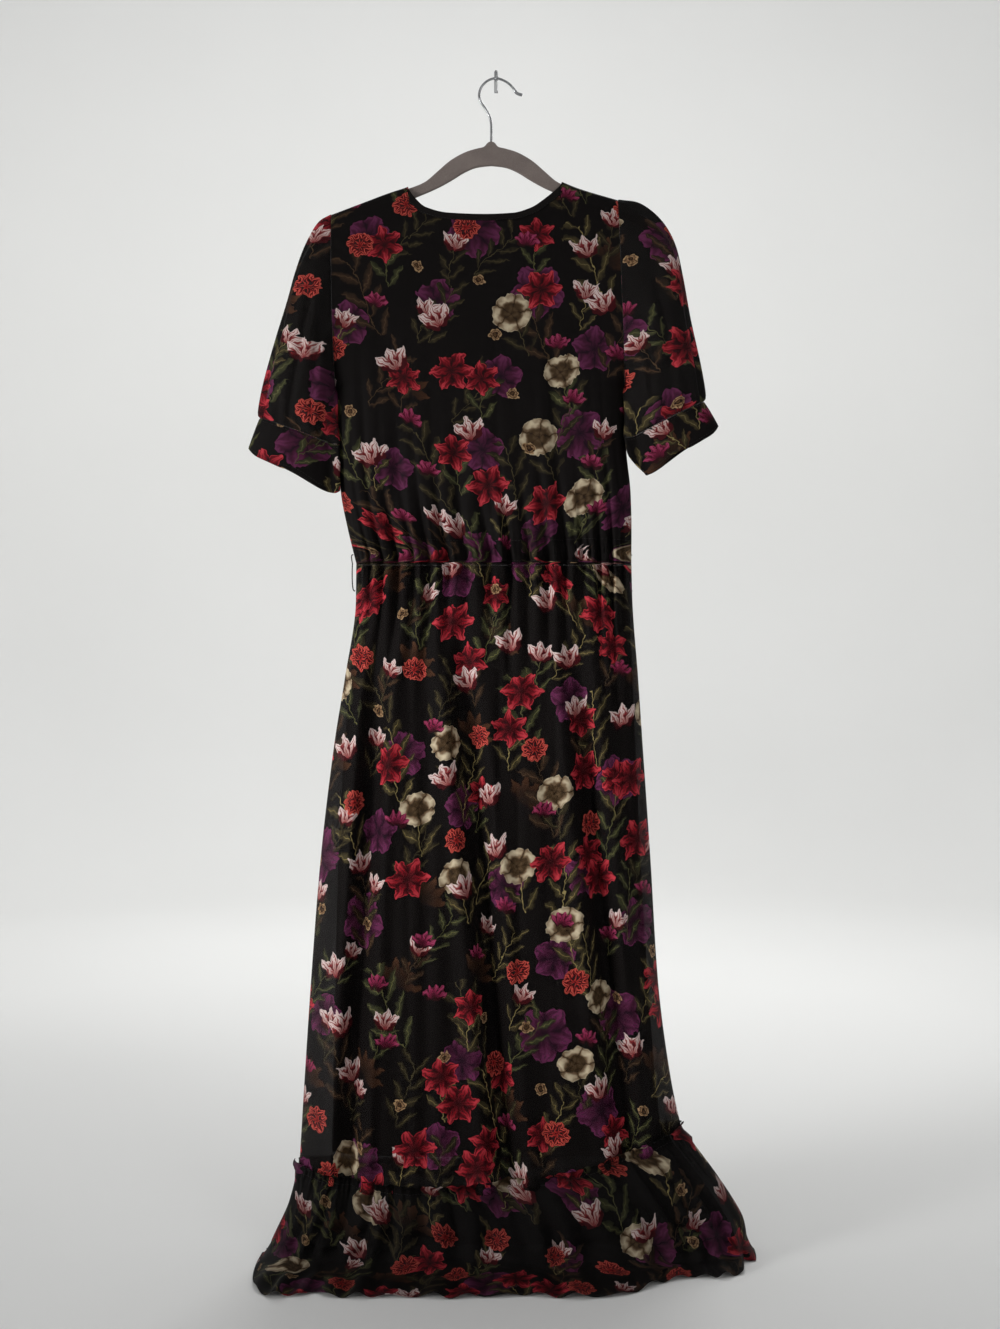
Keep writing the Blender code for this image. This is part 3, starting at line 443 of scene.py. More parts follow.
# Neck binding, thread loops and stitches
BINDING_LIFT = 0.55
BINDING_PUFF = 0.35
BINDING_FINER = 2
BINDING_SLACK = 0.01
LOOP_THREAD = 0.8
LOOP_EASE = 0.4
LOOP_STAND = 4.0
LOOP_LIE = 6.6
LOOP_FROM_SEAM = 1.0
LOOP_TOP_Z = -590.0
LOOP_FOOT_Z = -634.0
LOOP_ROWS = 61
LOOP_TWISTS = 14.0
LOOP_SMOOTHINGS = 6
STRAND_SIDES = 10
STRAND_SWELL = 0.22
STRAND_START = (0.31, 0.17, 0.93)
STITCH_LENGTH = 2.6
STITCH_GAP = 1.1
STITCH_WIDTH = 0.22
STITCH_HEIGHT = 0.2
STITCH_END = 0.35
STITCH_SHARES = (0.0, 0.25, 0.75, 1.0)
STITCH_SIZES = (STITCH_END, 1.0, 1.0, STITCH_END)
STITCH_AHEAD = 0.5
STITCH_LIFT = 0.1
# Rows of points that are sewn along, by kind of piece; those of the casing are found by their height
STITCH_ROWS = {"neck": (-2,), "flounce": (HEADING_ROW, -2), "cuff": (2, -3)}
STITCH_PROFILE = np.array(((-1.0, 0.0), (-0.6, 0.8), (0.6, 0.8), (1.0, 0.0), (0.6, -0.8), (-0.6, -0.8)))

# Flat cut of what shows of each piece of cloth, in metres, and what it hangs from
Cut = namedtuple("Cut", "piece width length area held rests_on")
BODY_PANELS = ("bodice_cloth_back", "bodice_cloth_front")
CUTS = rows_of(
    Cut,
    ("bodice_cloth_back", 0.465, 0.480, 0.178, "hung", ("flocked_hanger",)),
    ("bodice_cloth_front", 0.465, 0.480, 0.162, "hung", ("flocked_hanger",)),
    ("neck_band_back", 0.010, 0.212, 0.0018, "hung", ("bodice_cloth_back",)),
    ("neck_band_front", 0.010, 0.413, 0.0034, "hung", ("bodice_cloth_front",)),
    ("sleeve_cloth_left", 0.465, 0.275, 0.052, "hung", BODY_PANELS),
    ("sleeve_cloth_right", 0.505, 0.295, 0.060, "hung", BODY_PANELS),
    ("cuff_cloth_left", 0.290, 0.060, 0.0135, "hung", ("sleeve_cloth_left",)),
    ("cuff_cloth_right", 0.275, 0.055, 0.0118, "hung", ("sleeve_cloth_right",)),
    ("skirt_cloth_back", 0.590, 0.760, 0.380, "gathered", ("bodice_cloth_back",)),
    ("skirt_cloth_front", 0.560, 0.758, 0.340, "gathered", ("bodice_cloth_front",)),
    ("slip_cloth_back", 0.420, 0.712, 0.270, "hung", ("bodice_cloth_back",)),
    ("slip_cloth_front", 0.406, 0.712, 0.264, "hung", ("bodice_cloth_front",)),
    ("flounce_cloth_back", 0.850, 0.205, 0.125, "gathered", ("skirt_cloth_back",)),
    ("flounce_cloth_front", 0.630, 0.185, 0.086, "gathered", ("skirt_cloth_front",)),
)

# Hanger: its upper and under edge from its middle out, and the line of its hook
HANG_X = -6.0
HANGER_TOP = rows_of(
    Edge, (0, -85.8), (4.3, -87.5), (9, -92.5), (18.3, -94.8), (32.9, -99.6), (50, -109.4), (65.9, -123),
    (79.3, -134.4), (94, -141.2), (122, -150.6), (150, -160.8), (182, -173.9), (198, -182.5), (205, -191),
)
HANGER_UNDER = rows_of(
    Edge, (206, -197), (201, -201.5), (190, -196), (165.9, -182), (122, -166), (92.7, -154.5),
    (67.1, -143.6), (48.8, -133.8), (32.9, -124), (18, -117.8), (0, -115.5),
)
HOOK_WIRE = rows_of(
    Edge, (-5.9, -86.5), (-5.6, -72), (-6.2, -62), (-8.4, -54), (-13.4, -45), (-18.3, -37.8), (-20.5, -30),
    (-19.3, -22.5), (-15.6, -16.2), (-10.2, -11.7), (-3.6, -9), (2.6, -8.9), (9.6, -11.4), (16.2, -15.6),
    (21.6, -21.4), (25.6, -26.8), (32.2, -29.2),
)
HANGER_FINER = 4
HOOK_FINER = 7
TIP_POINTS = 14
TIP_RUN = 3.0
TIP_SWELL = 1.3
TIP_END = 0.8

WIRE_RESOLUTION = 4
SMOOTH_ANGLE = math.radians(50.0)
BEVEL_ANGLE = math.radians(60.0)
BEVEL_SEGMENTS = 4

# Wall hook: its plate and the rounding of the plate in metres, then its peg under the wire
PLATE = (0.0046, 0.0015, 0.027)
PLATE_ROUND = 0.0005
PLATE_SEGMENTS = 3
PLATE_ANGLE = math.radians(40.0)
WIRE_TOP_EASE = 0.02
PEG_GAP = 0.15
PEG_TURN = 2.4
PEG_STEPS = 8
PEG_IN_PLATE = -0.4
PEG_PAST_WIRE = 0.7
PEG_TOP_Z = -0.8

# Studio, in metres: lamps, floor with its curved rise to the backdrop, and the camera
Lamp = namedtuple("Lamp", "name place aim size power spread")
LAMPS = rows_of(
    Lamp,
    ("key_light", (-2.5, -1.5, -0.5), (0, 0, -0.76), 1, 4.6, 35),
    ("fill_light", (1.8, -2.5, -0.1), (0, 0, -0.76), 1.4, 1.2, 46),
    ("far_light", (0.3, 1.7, 0.9), (0, -0.4, -1.43), 1, 17, 180),
    ("wall_light", (-0.1, 1.5, 1.3), (-0.1, 4.4, -0.4), 1.8, 52, 180),
)
COVE_SIDES = 96
COVE_HUB = 0.01
COVE_FLAT = 1.2
COVE_ROUND = 1.5
COVE_START = 0.1
COVE_STEPS = 12
COVE_REACH = 2.9
COVE_TOP = 4.2
FLOOR_GAP = 0.0002
AIR_COLOUR = "fbfcff"
AIR_STRENGTH = 0.5
CAMERA_PLACE = (0.00488, -1.998, -0.7237)
CAMERA_LENS = 43.52
CAMERA_SENSOR = 36.0
SHAPES = {}


def ease(share):
    """0 to 1 with a level start and end."""
    share = np.clip(share, 0.0, 1.0)
    return share * share * (3.0 - 2.0 * share)


def blend(low, high, share):
    """The value that lies a share of the way from low to high."""
    return low + (high - low) * share


def across(left, right, share):
    """The value that lies between two sides, for a share from -1 to 1."""
    return 0.5 * (left + right) + 0.5 * (right - left) * share


def unit(ways):
    """Directions with a length of one."""
    return ways / np.linalg.norm(ways, axis=-1, keepdims=True)


def lengths(points):
    """How far along its line each point lies."""
    return np.concatenate(([0.0], np.linalg.norm(np.diff(points, axis=0), axis=1).cumsum()))


def read_table(table, column, place):
    """Values of a column at places along the first column, on a smooth curve through the rows."""
    rows = sorted(table)
    at = np.array([row[0] for row in rows], float)
    value = np.array([getattr(row, column) for row in rows], float)
    step = np.diff(value) / np.diff(at)
    before, after = step[:-1], step[1:]
    level = before * after <= 0.0
    total = np.where(level, 1.0, before + after)
    middle = np.where(level, 0.0, 2.0 * before * after / total)
    slope = np.concatenate((step[:1], middle, step[-1:]))
    place = np.clip(place, at[0], at[-1])
    index = np.clip(np.searchsorted(at, place, side="right") - 1, 0, len(at) - 2)
    span = at[index + 1] - at[index]
    share = (place - at[index]) / span
    square, cube = share ** 2, share ** 3
    return ((2 * cube - 3 * square + 1) * value[index]
            + (cube - 2 * square + share) * span * slope[index]
            + (3 * square - 2 * cube) * value[index + 1]
            + (cube - square) * span * slope[index + 1])


def read_sides(table, z, *columns):
    """Several columns of a table at the same heights."""
    return (read_table(table, column, z) for column in columns)


def fold_depth(folds, x, z):
    """Depth of all the folds at each point: positive goes in towards the wearer."""
    total = 0.0
    for fold in folds:
        run = np.clip((fold.z_top - z) / (fold.z_top - fold.z_low), 0.0, 1.0)
        middle = blend(fold.x_top, fold.x_low, run)
        total = total + fold.depth * ease(run / FOLD_START) * np.exp(-((x - middle) / fold.width) ** 2)
    return total


def uneven_wave(step, phase, swings, waves):
    """Wave between -1 and 1 whose place and size swing, with a number of waves to each gather."""
    *drifts, swell = swings
    drift = sum(swing.size * np.sin(swing.pace * step + swing.turn * phase) for swing in drifts)
    size = 1.0 - swell.size + swell.size * np.sin(swell.pace * step + swell.turn * phase)
    return size * np.sin(2.0 * np.pi * waves * step / STEPS_PER_GATHER + drift + waves * phase)


def gather_wave(step, phase):
    """Uneven gathers, three steps long, between -1 and 1."""
    return uneven_wave(step, phase, GATHER_SWINGS, 1.0)


def full_wave(step, phase):
    """Gathers with broad ridges and narrow valleys, between -1 and 1."""
    return 1.0 - 0.5 * (1.0 - gather_wave(step, phase)) ** 2


def ripple(step, phase):
    """Small uneven gathers, a step and a half long, between -1 and 1."""
    return uneven_wave(step, phase, RIPPLE_SWINGS, 2.0)


def ripples(step, table):
    """Ripples of a table laid over each other."""
    return sum(size * ripple(pace * step, phase) for size, pace, phase in table)


def sway(x, z, phase):
    """Slow unevenness of hanging cloth, between about -1 and 1."""
    return sum(size * np.sin(x / wide + z / high + turn * phase) for size, wide, high, turn in SWAYS)


def panel_columns(count):
    """Places across a panel from -1 to 1, closer together near the seams, and their gather steps."""
    even = np.linspace(-1.0, 1.0, count)
    share = blend(np.sin(0.5 * np.pi * even), even, EVEN_SHARE)
    return share, 0.5 * SKIRT_STEPS * (even + 1.0)


def side_close(share, power):
    """1 over the flat of a panel, 0 at its side seams."""
    return np.sqrt(np.maximum(0.0, 1.0 - np.abs(share) ** power))


def side_fade(share, run):
    """1 over a panel, easing to 0 at its side seams over a part of its half width."""
    return ease((1.0 - np.abs(share)) / run)


def sagging(left, middle, right, share):
    """Height across a panel of an edge with its middle below or above the line between its ends."""
    level = 0.5 * (left + right)
    return level + 0.5 * (right - left) * share + (middle - level) * (1.0 - share * share)


def stack(x, y, z):
    """One array of points from arrays of coordinates."""
    return np.stack(np.broadcast_arrays(x, y, z), axis=-1).astype(float)


def skirt_points(panel, share, step, down):
    """Rows of an outer skirt panel; down is a column of shares from the waist to the lower edge."""
    top = WAIST_Z - SEAM_EASE
    z, z_left, z_right = (blend(top, sagging(*FLOUNCE_SEAM, at) - SKIRT_END_BELOW_SEAM, down)
                          for at in (share, -1.0, 1.0))
    x = across(read_table(SKIRT_LEVELS, "left", z_left), read_table(SKIRT_LEVELS, "right", z_right), share)
    wave = GATHER_DEPTH * gather_wave(step, SKIRT_PHASE) * np.exp((z - top) / SKIRT_GATHER_RUN)
    depth = panel.out * (read_table(SKIRT_LEVELS, panel.name, z) - SIDE_Y)
    depth = depth + (wave - fold_depth(panel.skirt_folds, x, z)) * side_fade(share, SKIRT_FADE)
    return stack(x, SIDE_Y + panel.out * (SEAM_EASE + depth * side_close(share, SKIRT_ROUND)), z)


def slip_points(panel, share):
    """Rows of a lining panel, straight down from the waist seam with no gathers."""
    z = np.linspace(SLIP_LEVELS[0].z, SLIP_LEVELS[-1].z, SLIP_ROWS)[:, None]
    left, right, reach = read_sides(SLIP_LEVELS, z, "left", "right", panel.name)
    x = across(left, right, share)
    y = SIDE_Y + panel.out * SEAM_EASE + (reach - SIDE_Y) * side_close(share, SKIRT_ROUND)
    return stack(x, y + SLIP_SWAY * sway(x, z, SLIP_PHASE) * side_fade(share, SKIRT_FADE), z)


def flounce_points(panel, share, step):
    """The flounce's own rows: heading and seam lie on the skirt, then it falls and spreads out."""
    out = panel.out
    high, low = skirt_points(panel, share, step, np.array(HEADING_SHARES)[:, None])
    fade = side_fade(share, FLOUNCE_FADE)
    crease = FLOUNCE_ROWS[CREASE_ROW].y_back
    rows = []
    for number, ruffle in enumerate(FLOUNCE_ROWS):
        reach, middle_z = getattr(ruffle, "y_" + panel.name), getattr(ruffle, "z_" + panel.name)
        x = across(ruffle.x_left, ruffle.x_right, share)
        z = sagging(ruffle.z_left, middle_z, ruffle.z_right, share)
        wave = gather_wave(step, FLOUNCE_PHASE + PHASE_PER_ROW * number)
        wave = ruffle.wave * (1.0 + wave) * fade * panel.waves
        if number < HEADING_ROWS:
            base = blend(high, low, ((high[:, 2] - z) / (high[:, 2] - low[:, 2]))[:, None])
            y = base[:, 1] + out * (FLOUNCE_OFF_SKIRT * side_close(share, HEM_ROUND) + wave)
            x = base[:, 0] + np.copysign(FLOUNCE_OFF_SKIRT * (1.0 - fade), share)
            rows.append(stack(x, y, z))
            continue
        close = side_close(share, blend(SKIRT_ROUND, HEM_ROUND, min((number - 1) / ROUND_ROWS, 1.0)))
        follow = max(1.0 - (number - 1) / FOLLOW_ROWS, 0.0)
        middle_y = reach + 0.0 * share
        if panel is BACK and number > CREASE_ROW:
            past_crease = (number - CREASE_ROW) / (len(FLOUNCE_ROWS) - 1 - CREASE_ROW)
            spread = blend(1.0, SPREAD_RIGHT, ease((share - SPREAD_START) / SPREAD_RUN))
            middle_y = crease + (reach - crease) * spread
            x = x - TOE_LEFT * close * np.clip(-share, 0.0, 1.0) ** TOE_POWER * past_crease
        depth = out * (middle_y - ruffle.y_side) - fold_depth(panel.skirt_folds, x, z) * follow * fade
        if number < FLOOR_ROW:
            depth = depth + wave
        else:
            z = z + HEM_LIFT * wave * close
        rows.append(stack(x, ruffle.y_side + out * (SEAM_EASE + depth * close), z))
    return finer_rows(rows, FLOUNCE_FINER)


def shoulder_height(x):
    """Height of the shoulder line across the dress."""
    return read_table(SHOULDER_LINE, "z", x)


def body_depth(drop, reach):
    """Depth of the cloth below the line of the hanger: round its edge, then out to its hang."""
    drop = np.maximum(drop, 0.0)
    turn = TURN_DEPTH * (1.0 - np.exp(-drop / TURN_RUN))
    return turn + (reach - TURN_DEPTH) * (1.0 - np.exp(-drop / HANG_RUN))


def armhole_open(z):
    """1 up the armhole, closing to 0 at the underarm and below it."""
    return np.sqrt(np.clip((z - UNDERARM_Z) / ARMHOLE_RUN, 0.0, 1.0))


def middle_depth(drop_share):
    """Mid plane of the upper body: under the hanger at the top, then at the side seams."""
    return blend(HANG_Y, SIDE_Y, np.clip(drop_share / SETTLE_SHARE, 0.0, 1.0))


def bodice_columns(neck):
    """Places across the top edge, with columns on the neck's corners."""
    shares = np.array(SHOULDER_COLUMNS)
    inner = np.linspace(neck[1].x, neck[-2].x, NECK_COLUMNS + 1)
    coarse = np.concatenate((blend(BODICE_SIDES[0].left, neck[0].x, shares), [neck[0].x], inner,
                             [neck[-1].x], blend(BODICE_SIDES[0].right, neck[-1].x, shares)[::-1]))
    steps = np.linspace(0.0, len(coarse) - 1.0, (len(coarse) - 1) * BODICE_FINER + 1)
    return np.interp(steps, np.arange(len(coarse)), coarse)


def top_height(neck, x):
    """Height of a bodice panel's top edge: the neckline between its corners, else the shoulder."""
    inside = (x > neck[0].x) & (x < neck[-1].x)
    return np.where(inside, read_table(neck, "z", x), shoulder_height(x))


def neck_stretch(neck, x):
    """How much longer than the drop of a row its way down is, on the slope of the neckline."""
    inside = (x >= neck[1].x) & (x <= neck[-2].x)
    slope = np.where(inside, (top_height(neck, x + 1.0) - top_height(neck, x - 1.0)) / 2.0, 0.0)
    return np.minimum(np.sqrt(1.0 + slope ** 2), MOST_STRETCH)


def bodice_points(panel):
    """Rows of a bodice panel: those under its neck binding, then down to the waist seam."""
    left, right = BODICE_SIDES[0].left, BODICE_SIDES[0].right
    place = bodice_columns(panel.neck)
    share = (place - 0.5 * (left + right)) / (0.5 * (right - left))
    step = np.interp(share, *panel_columns(FINE_COLUMNS))
    top = top_height(panel.neck, place)
    start = top - BINDING_DROP * neck_stretch(panel.neck, place)
    bottom = WAIST_Z + SEAM_EASE
    under = blend(top, start, np.linspace(0.0, 1.0, BINDING_ROWS + 1)[:-1, None])
    run = np.linspace(0.0, 1.0, BODICE_ROWS + 1)[:, None]
    z = np.concatenate((under, blend(start, bottom, 1.0 - (1.0 - run) ** ROW_CROWDING)))
    x = across(*read_sides(BODICE_SIDES, z, "left", "right"), share)
    depth = body_depth(shoulder_height(x) - z, panel.reach)
    wave = GATHER_DEPTH * gather_wave(step, SKIRT_PHASE) * np.exp((WAIST_Z - z) / BODICE_GATHER_RUN)
    depth = depth + (wave - fold_depth(panel.bodice_folds, x, z)) * side_fade(share, BODICE_FADE)
    depth = depth * blend(side_close(share, SIDE_ROUND), 1.0, armhole_open(z))
    drop_share = np.clip((top - z) / (top - bottom), 0.0, 1.0)
    return stack(x, middle_depth(drop_share) + panel.out * (SEAM_EASE + depth), z)


def armhole_points(arm, angle):
    """First ring of a sleeve: the bodice's armhole edge, moved just off it."""
    top = shoulder_height(getattr(BODICE_SIDES[0], arm.name))
    half = 0.5 * (top - UNDERARM_Z)
    z = UNDERARM_Z + half + half * np.cos(angle)
    x = read_table(BODICE_SIDES, arm.name, z) + arm.out * SLEEVE_EASE
    is_back = np.sin(angle) >= 0.0
    depth = body_depth(top - z, np.where(is_back, BACK.reach, FRONT.reach)) * armhole_open(z)
    middle = middle_depth((top - z) / (top - WAIST_Z))
    return stack(x, middle + np.where(is_back, -depth, depth), z)


def ring_angles(sides):
    """Angles round a sleeve or cuff from the line under the arm, with 0 at its outer line."""
    return np.linspace(-np.pi, np.pi, sides + 1)[:-1]


def tube_points(ring, angle, phase=0.0):
    """Ring of a sleeve or cuff: an ellipse from its outer line to the line under the arm."""
    outer = np.array((ring.x_out, ring.y, ring.z_out))
    inner = np.array((ring.x_in, ring.y, ring.z_in))
    step = SLEEVE_STEPS * np.mod(angle, 2.0 * np.pi) / (2.0 * np.pi)
    wave = (1.0 + ring.wave * gather_wave(step, phase) / ring.depth)[:, None]
    deep = np.array((0.0, -ring.depth, 0.0))
    return across(inner, outer, np.cos(angle)[:, None] * wave) + deep * np.sin(angle)[:, None] * wave


def finer_rows(rows, steps):
    """More rows, on smooth curves through the given ones."""
    rows = np.array(rows)
    last = len(rows) - 1
    result = []
    for index in range(last):
        before, start, end, after = (rows[min(max(index + k, 0), last)] for k in (-1, 0, 1, 2))
        for share in np.arange(steps) / steps:
            result.append(0.5 * (2 * start + (end - before) * share
                                 + (2 * before - 5 * start + 4 * end - after) * share ** 2
                                 + (3 * start - before - 3 * end + after) * share ** 3))
    result.append(rows[-1])
    return np.array(result)


def clear_of_slip(panel, points):
    """Holds a skirt panel just off the lining, inside it."""
    x, z = points[..., 0], points[..., 2]
    left, right, reach = read_sides(SLIP_LEVELS, z, "left", "right", panel.name)
    share = np.clip((2.0 * x - left - right) / (right - left), -1.0, 1.0)
    least = panel.out * (reach - SIDE_Y) * side_close(share, SKIRT_ROUND)
    least = least + SLIP_CLEAR * (1.0 - share ** SLIP_CLEAR_ROUND)
    gap = panel.out * (points[..., 1] - SIDE_Y) - least
    points[..., 1] = SIDE_Y + panel.out * (least + 0.5 * (gap + np.sqrt(gap ** 2 + SLIP_CLEAR ** 2)))
    return points


def seam_pinch(panel, points, share, step, away):
    """Draws the end of a panel in to the waist seam, whose gathers both of its panels share."""
    wave = SEAM_WAVE * (1.0 + full_wave(step, SKIRT_PHASE)) * side_fade(share, SKIRT_FADE)
    seam = SEAM_EASE + (panel.waist_seam + wave) * side_close(share, SKIRT_ROUND)
    points[..., 1] = blend(points[..., 1], SIDE_Y + panel.out * seam, np.exp(-away / SEAM_RUN))
    return points


def waist_gathers(step, phase, fine_run, full_run):
    """Small gathers, and full ones over them, that fade out away from the waist seam."""
    small = FINE_GATHER * ripple(step, phase) * np.exp(-fine_run / FINE_GATHER_RUN)
    return small + FULL_GATHER * (1.0 + full_wave(step, SKIRT_PHASE)) * np.exp(-full_run / FULL_RUN)


def ruck_skirt(panel, points, share, step):
    """Fuller gathers under the waist seam, creases and a slow unevenness of the panel."""
    x, z = points[..., 0], points[..., 2]
    below = WAIST_Z - SEAM_EASE - z
    depth = waist_gathers(step, SKIRT_PHASE, below, below)
    depth = depth - SKIRT_CREASE_SHARE * fold_depth(panel.skirt_creases, x, z)
    depth = depth + SKIRT_SWAY * sway(x, z, SKIRT_PHASE) * ease(below / SWAY_RUN)
    points[..., 1] += panel.out * depth * side_fade(share, SKIRT_FADE)
    return seam_pinch(panel, clear_of_slip(panel, points), share, step, below)


def ruck_bodice(panel, points):
    """The elastic casing over the waist seam, small gathers above it, and creases."""
    x, z = points[..., 0], points[..., 2]
    left, right = x[:, :1], x[:, -1:]
    share = (2.0 * x - left - right) / (right - left)
    step = np.interp(share, *panel_columns(FINE_COLUMNS))
    above = np.maximum(z - CASING_TOP_Z, 0.0)
    in_casing = np.clip((CASING_TOP_Z - z) / (CASING_TOP_Z - WAIST_Z), 0.0, 1.0)
    depth = waist_gathers(step, BODICE_PHASE, above, z - WAIST_Z)
    depth = depth + np.sin(np.pi * in_casing) * (CASING_PUFF + ripples(step, CASING_RIPPLES))
    depth = depth - CASING_PINCH * np.exp(-((z - CASING_TOP_Z) / CASING_LINE) ** 2)
    depth = depth - fold_depth(panel.bodice_creases, x, z)
    below = BODICE_SIDES[0].z - z - SWAY_START
    depth = depth + BODICE_SWAY * sway(x, z, BODICE_PHASE) * ease(below / SWAY_RUN)
    points[..., 1] += panel.out * depth * side_fade(share, BODICE_FADE)
    return seam_pinch(panel, points, share, step, z - WAIST_Z - SEAM_EASE)


def tuck_under_arm(arm, points, angle):
    """Laps the inner edge of a sleeve or cuff over the side of the bodice, on the side that faces out."""
    inward = np.pi - np.abs(angle)
    near = ease(1.0 - inward / np.where(angle > 0.0, TUCK_BACK, TUCK_FRONT))
    reach = read_table(TUCKS, arm.name, points[..., 2]) * near
    points[..., 0] -= arm.out * reach
    points[..., 1] -= TUCK_LIFT * reach
    return points


def out_of_tube(points):
    """Way out from the middle line of a tube at each of its points."""
    return unit(points - points.mean(axis=1, keepdims=True))


def ruck_sleeve(points, angle, end):
    """Small gathers at the armhole and over the cuff, and soft folds down the sleeve."""
    run = np.linspace(0.0, 1.0, len(points))[:, None]
    length = lengths(points.mean(axis=1))[-1]
    to_cuff = (run - 1.0) * length
    step = SLEEVE_STEPS * angle / (2.0 * np.pi)
    depth = CAP_GATHER * ripple(step, SLEEVE_PHASE) * np.exp(-run * length / CAP_GATHER_RUN)
    depth = depth * ease(run * length / CAP_START)
    depth = depth + CUFF_GATHER * ripple(step, CUFF_GATHER_PHASE) * np.exp(to_cuff / CUFF_GATHER_RUN)
    wide = CUFF_WIDE_GATHER * gather_wave(step, CUFF_WIDE_PHASE)
    depth = depth + wide * np.exp(to_cuff / CUFF_WIDE_RUN)
    for fold in SLEEVE_FOLDS:
        share = np.clip((run - fold.run_top) / (fold.run_low - fold.run_top), 0.0, 1.0)
        at = blend(fold.angle_top, fold.angle_low, share)
        left = (fold.run_low + SLEEVE_FOLD_PAST - run) / SLEEVE_FOLD_END + SLEEVE_FOLD_LEFT
        size = ease(share / SLEEVE_FOLD_START) * ease(left)
        depth = depth - fold.depth * size * np.exp(-((angle - at) / fold.width) ** 2)
    fade = ease((np.pi - np.abs(angle)) / SLEEVE_FADE)
    points = points + out_of_tube(points) * (depth * fade)[..., None]
    return blend(points, end, np.exp(to_cuff / CUFF_PINCH_RUN)[..., None])


def sleeve_points(arm):
    """Rings of a sleeve, eased into the armhole and gathered into the cuff."""
    angle = ring_angles(SLEEVE_SIDES)
    rings = [armhole_points(arm, angle)]
    rings.extend(tube_points(ring, angle, SLEEVE_PHASE) for ring in arm.sleeve)
    end = tube_points(arm.sleeve[-1]._replace(wave=0.0), angle)
    return tuck_under_arm(arm, ruck_sleeve(finer_rows(rings, SLEEVE_FINER), angle, end), angle)


def cuff_points(arm):
    """Rings of a cuff, whose lower edge hangs in soft lobes and whose edges both roll in."""
    angle = ring_angles(CUFF_SIDES)
    points = finer_rows([tube_points(ring, angle) for ring in arm.cuff], CUFF_FINER)
    run = np.linspace(0.0, 1.0, len(points))[:, None]
    points[..., 2] -= read_table(CUFF_DROPS, "drop", angle)[None, :] * run ** 2
    small = CUFF_RIPPLE * ripple(SLEEVE_STEPS * angle / np.pi, CUFF_RIPPLE_PHASE) * (1.0 - run)
    puff = CUFF_PUFF * np.sin(np.pi * run) - CUFF_ROLL + small
    return tuck_under_arm(arm, points + out_of_tube(points) * puff[..., None], angle)


def ruck_flounce(panel, points, share, step):
    """Fine gathers at the heading, a frilled top edge, an uneven hem and its narrow roll."""
    out = panel.out
    away = points[..., 2] - sagging(*FLOUNCE_SEAM, share)
    frill = np.maximum(away, 0.0)
    frilled = ripple(FRILL_PACE * step, FRILL_PHASE)
    depth = ripples(step, HEADING_RIPPLES) * np.exp(-np.abs(away) / FLOUNCE_GATHER_RUN)
    depth = depth + HEADING_LEAN * frill * (1.0 + FRILL_SHARE * frilled)
    fade = side_fade(share, FLOUNCE_FADE)
    points[..., 1] += out * depth * fade
    points[..., 2] += HEADING_FRILL * frilled * ease(frill / HEADING_RUN) * fade
    x, z = points[..., 0].copy(), points[..., 2].copy()
    for slump in FLOUNCE_SLUMPS:
        run = (-out * x - slump.x_left) / (slump.x_right - slump.x_left)
        ends = np.sqrt(np.sin(np.pi * np.clip(run, 0.0, 1.0)).clip(0.0, 1.0))
        middle = blend(slump.z_left, slump.z_right, run)
        size = slump.depth * ends * np.exp(-((z - middle) / slump.half_z) ** 2)
        points[..., 1] -= out * size * panel.slump
    if panel is BACK:
        for lump in FLOUNCE_LUMPS:
            size = np.exp(-((x - lump.x) / lump.half_x) ** 2 - ((z - lump.z) / lump.half_z) ** 2)
            points[..., 0] += lump.aside * size
            points[..., 1] -= lump.ahead * size
            points[..., 2] += lump.up * size * np.clip((z - FLOOR_Z) / FLOOR_RUN, 0.0, 1.0)
        corner = ease((x - CORNER_X) / CORNER_RUN) * ease((CORNER_TOP_Z - z) / CORNER_DROP)
        far = np.clip((-points[..., 1] - CORNER_START) / CORNER_DEPTH, 0.0, 1.0)
        points[..., 1] += CORNER_BACK * corner * far
    return points


def out_of(points, face_up):
    """Way out of the cloth at each point of a grid."""
    normal = unit(np.cross(np.gradient(points, axis=1), np.gradient(points, axis=0)))
    return normal if face_up else -normal


def binding_points(panel, rows):
    """Neck binding: a strip that lies over the panel's face under its top edge."""
    neck = panel.neck
    top = rows[0, :, 0]
    inside = (top >= neck[1].x - BINDING_SLACK) & (top <= neck[-2].x + BINDING_SLACK)
    edge = finer_rows(rows[:BINDING_ROWS + 1, inside], BINDING_FINER)
    lift = BINDING_LIFT + BINDING_PUFF * np.sin(np.pi * np.linspace(0.0, 1.0, len(edge)))
    return edge + out_of(edge, panel is FRONT) * lift[:, None, None]


def lay_panel(points, corner):
    """Where a panel's points lie on the flat cloth, in metres: across from its middle, and down."""
    wide = np.linalg.norm(np.diff(points[..., :2], axis=1), axis=2).cumsum(axis=1)
    wide = np.concatenate((np.zeros((len(points), 1)), wide), axis=1)
    wide = wide - wide[:, [wide.shape[1] // 2]]
    down = np.linalg.norm(np.diff(points[..., 1:], axis=0), axis=2).cumsum(axis=0)
    height = points[0, :, 2] - np.concatenate((np.zeros((1, points.shape[1])), down))
    return np.stack((wide, height), axis=-1) * MM + corner


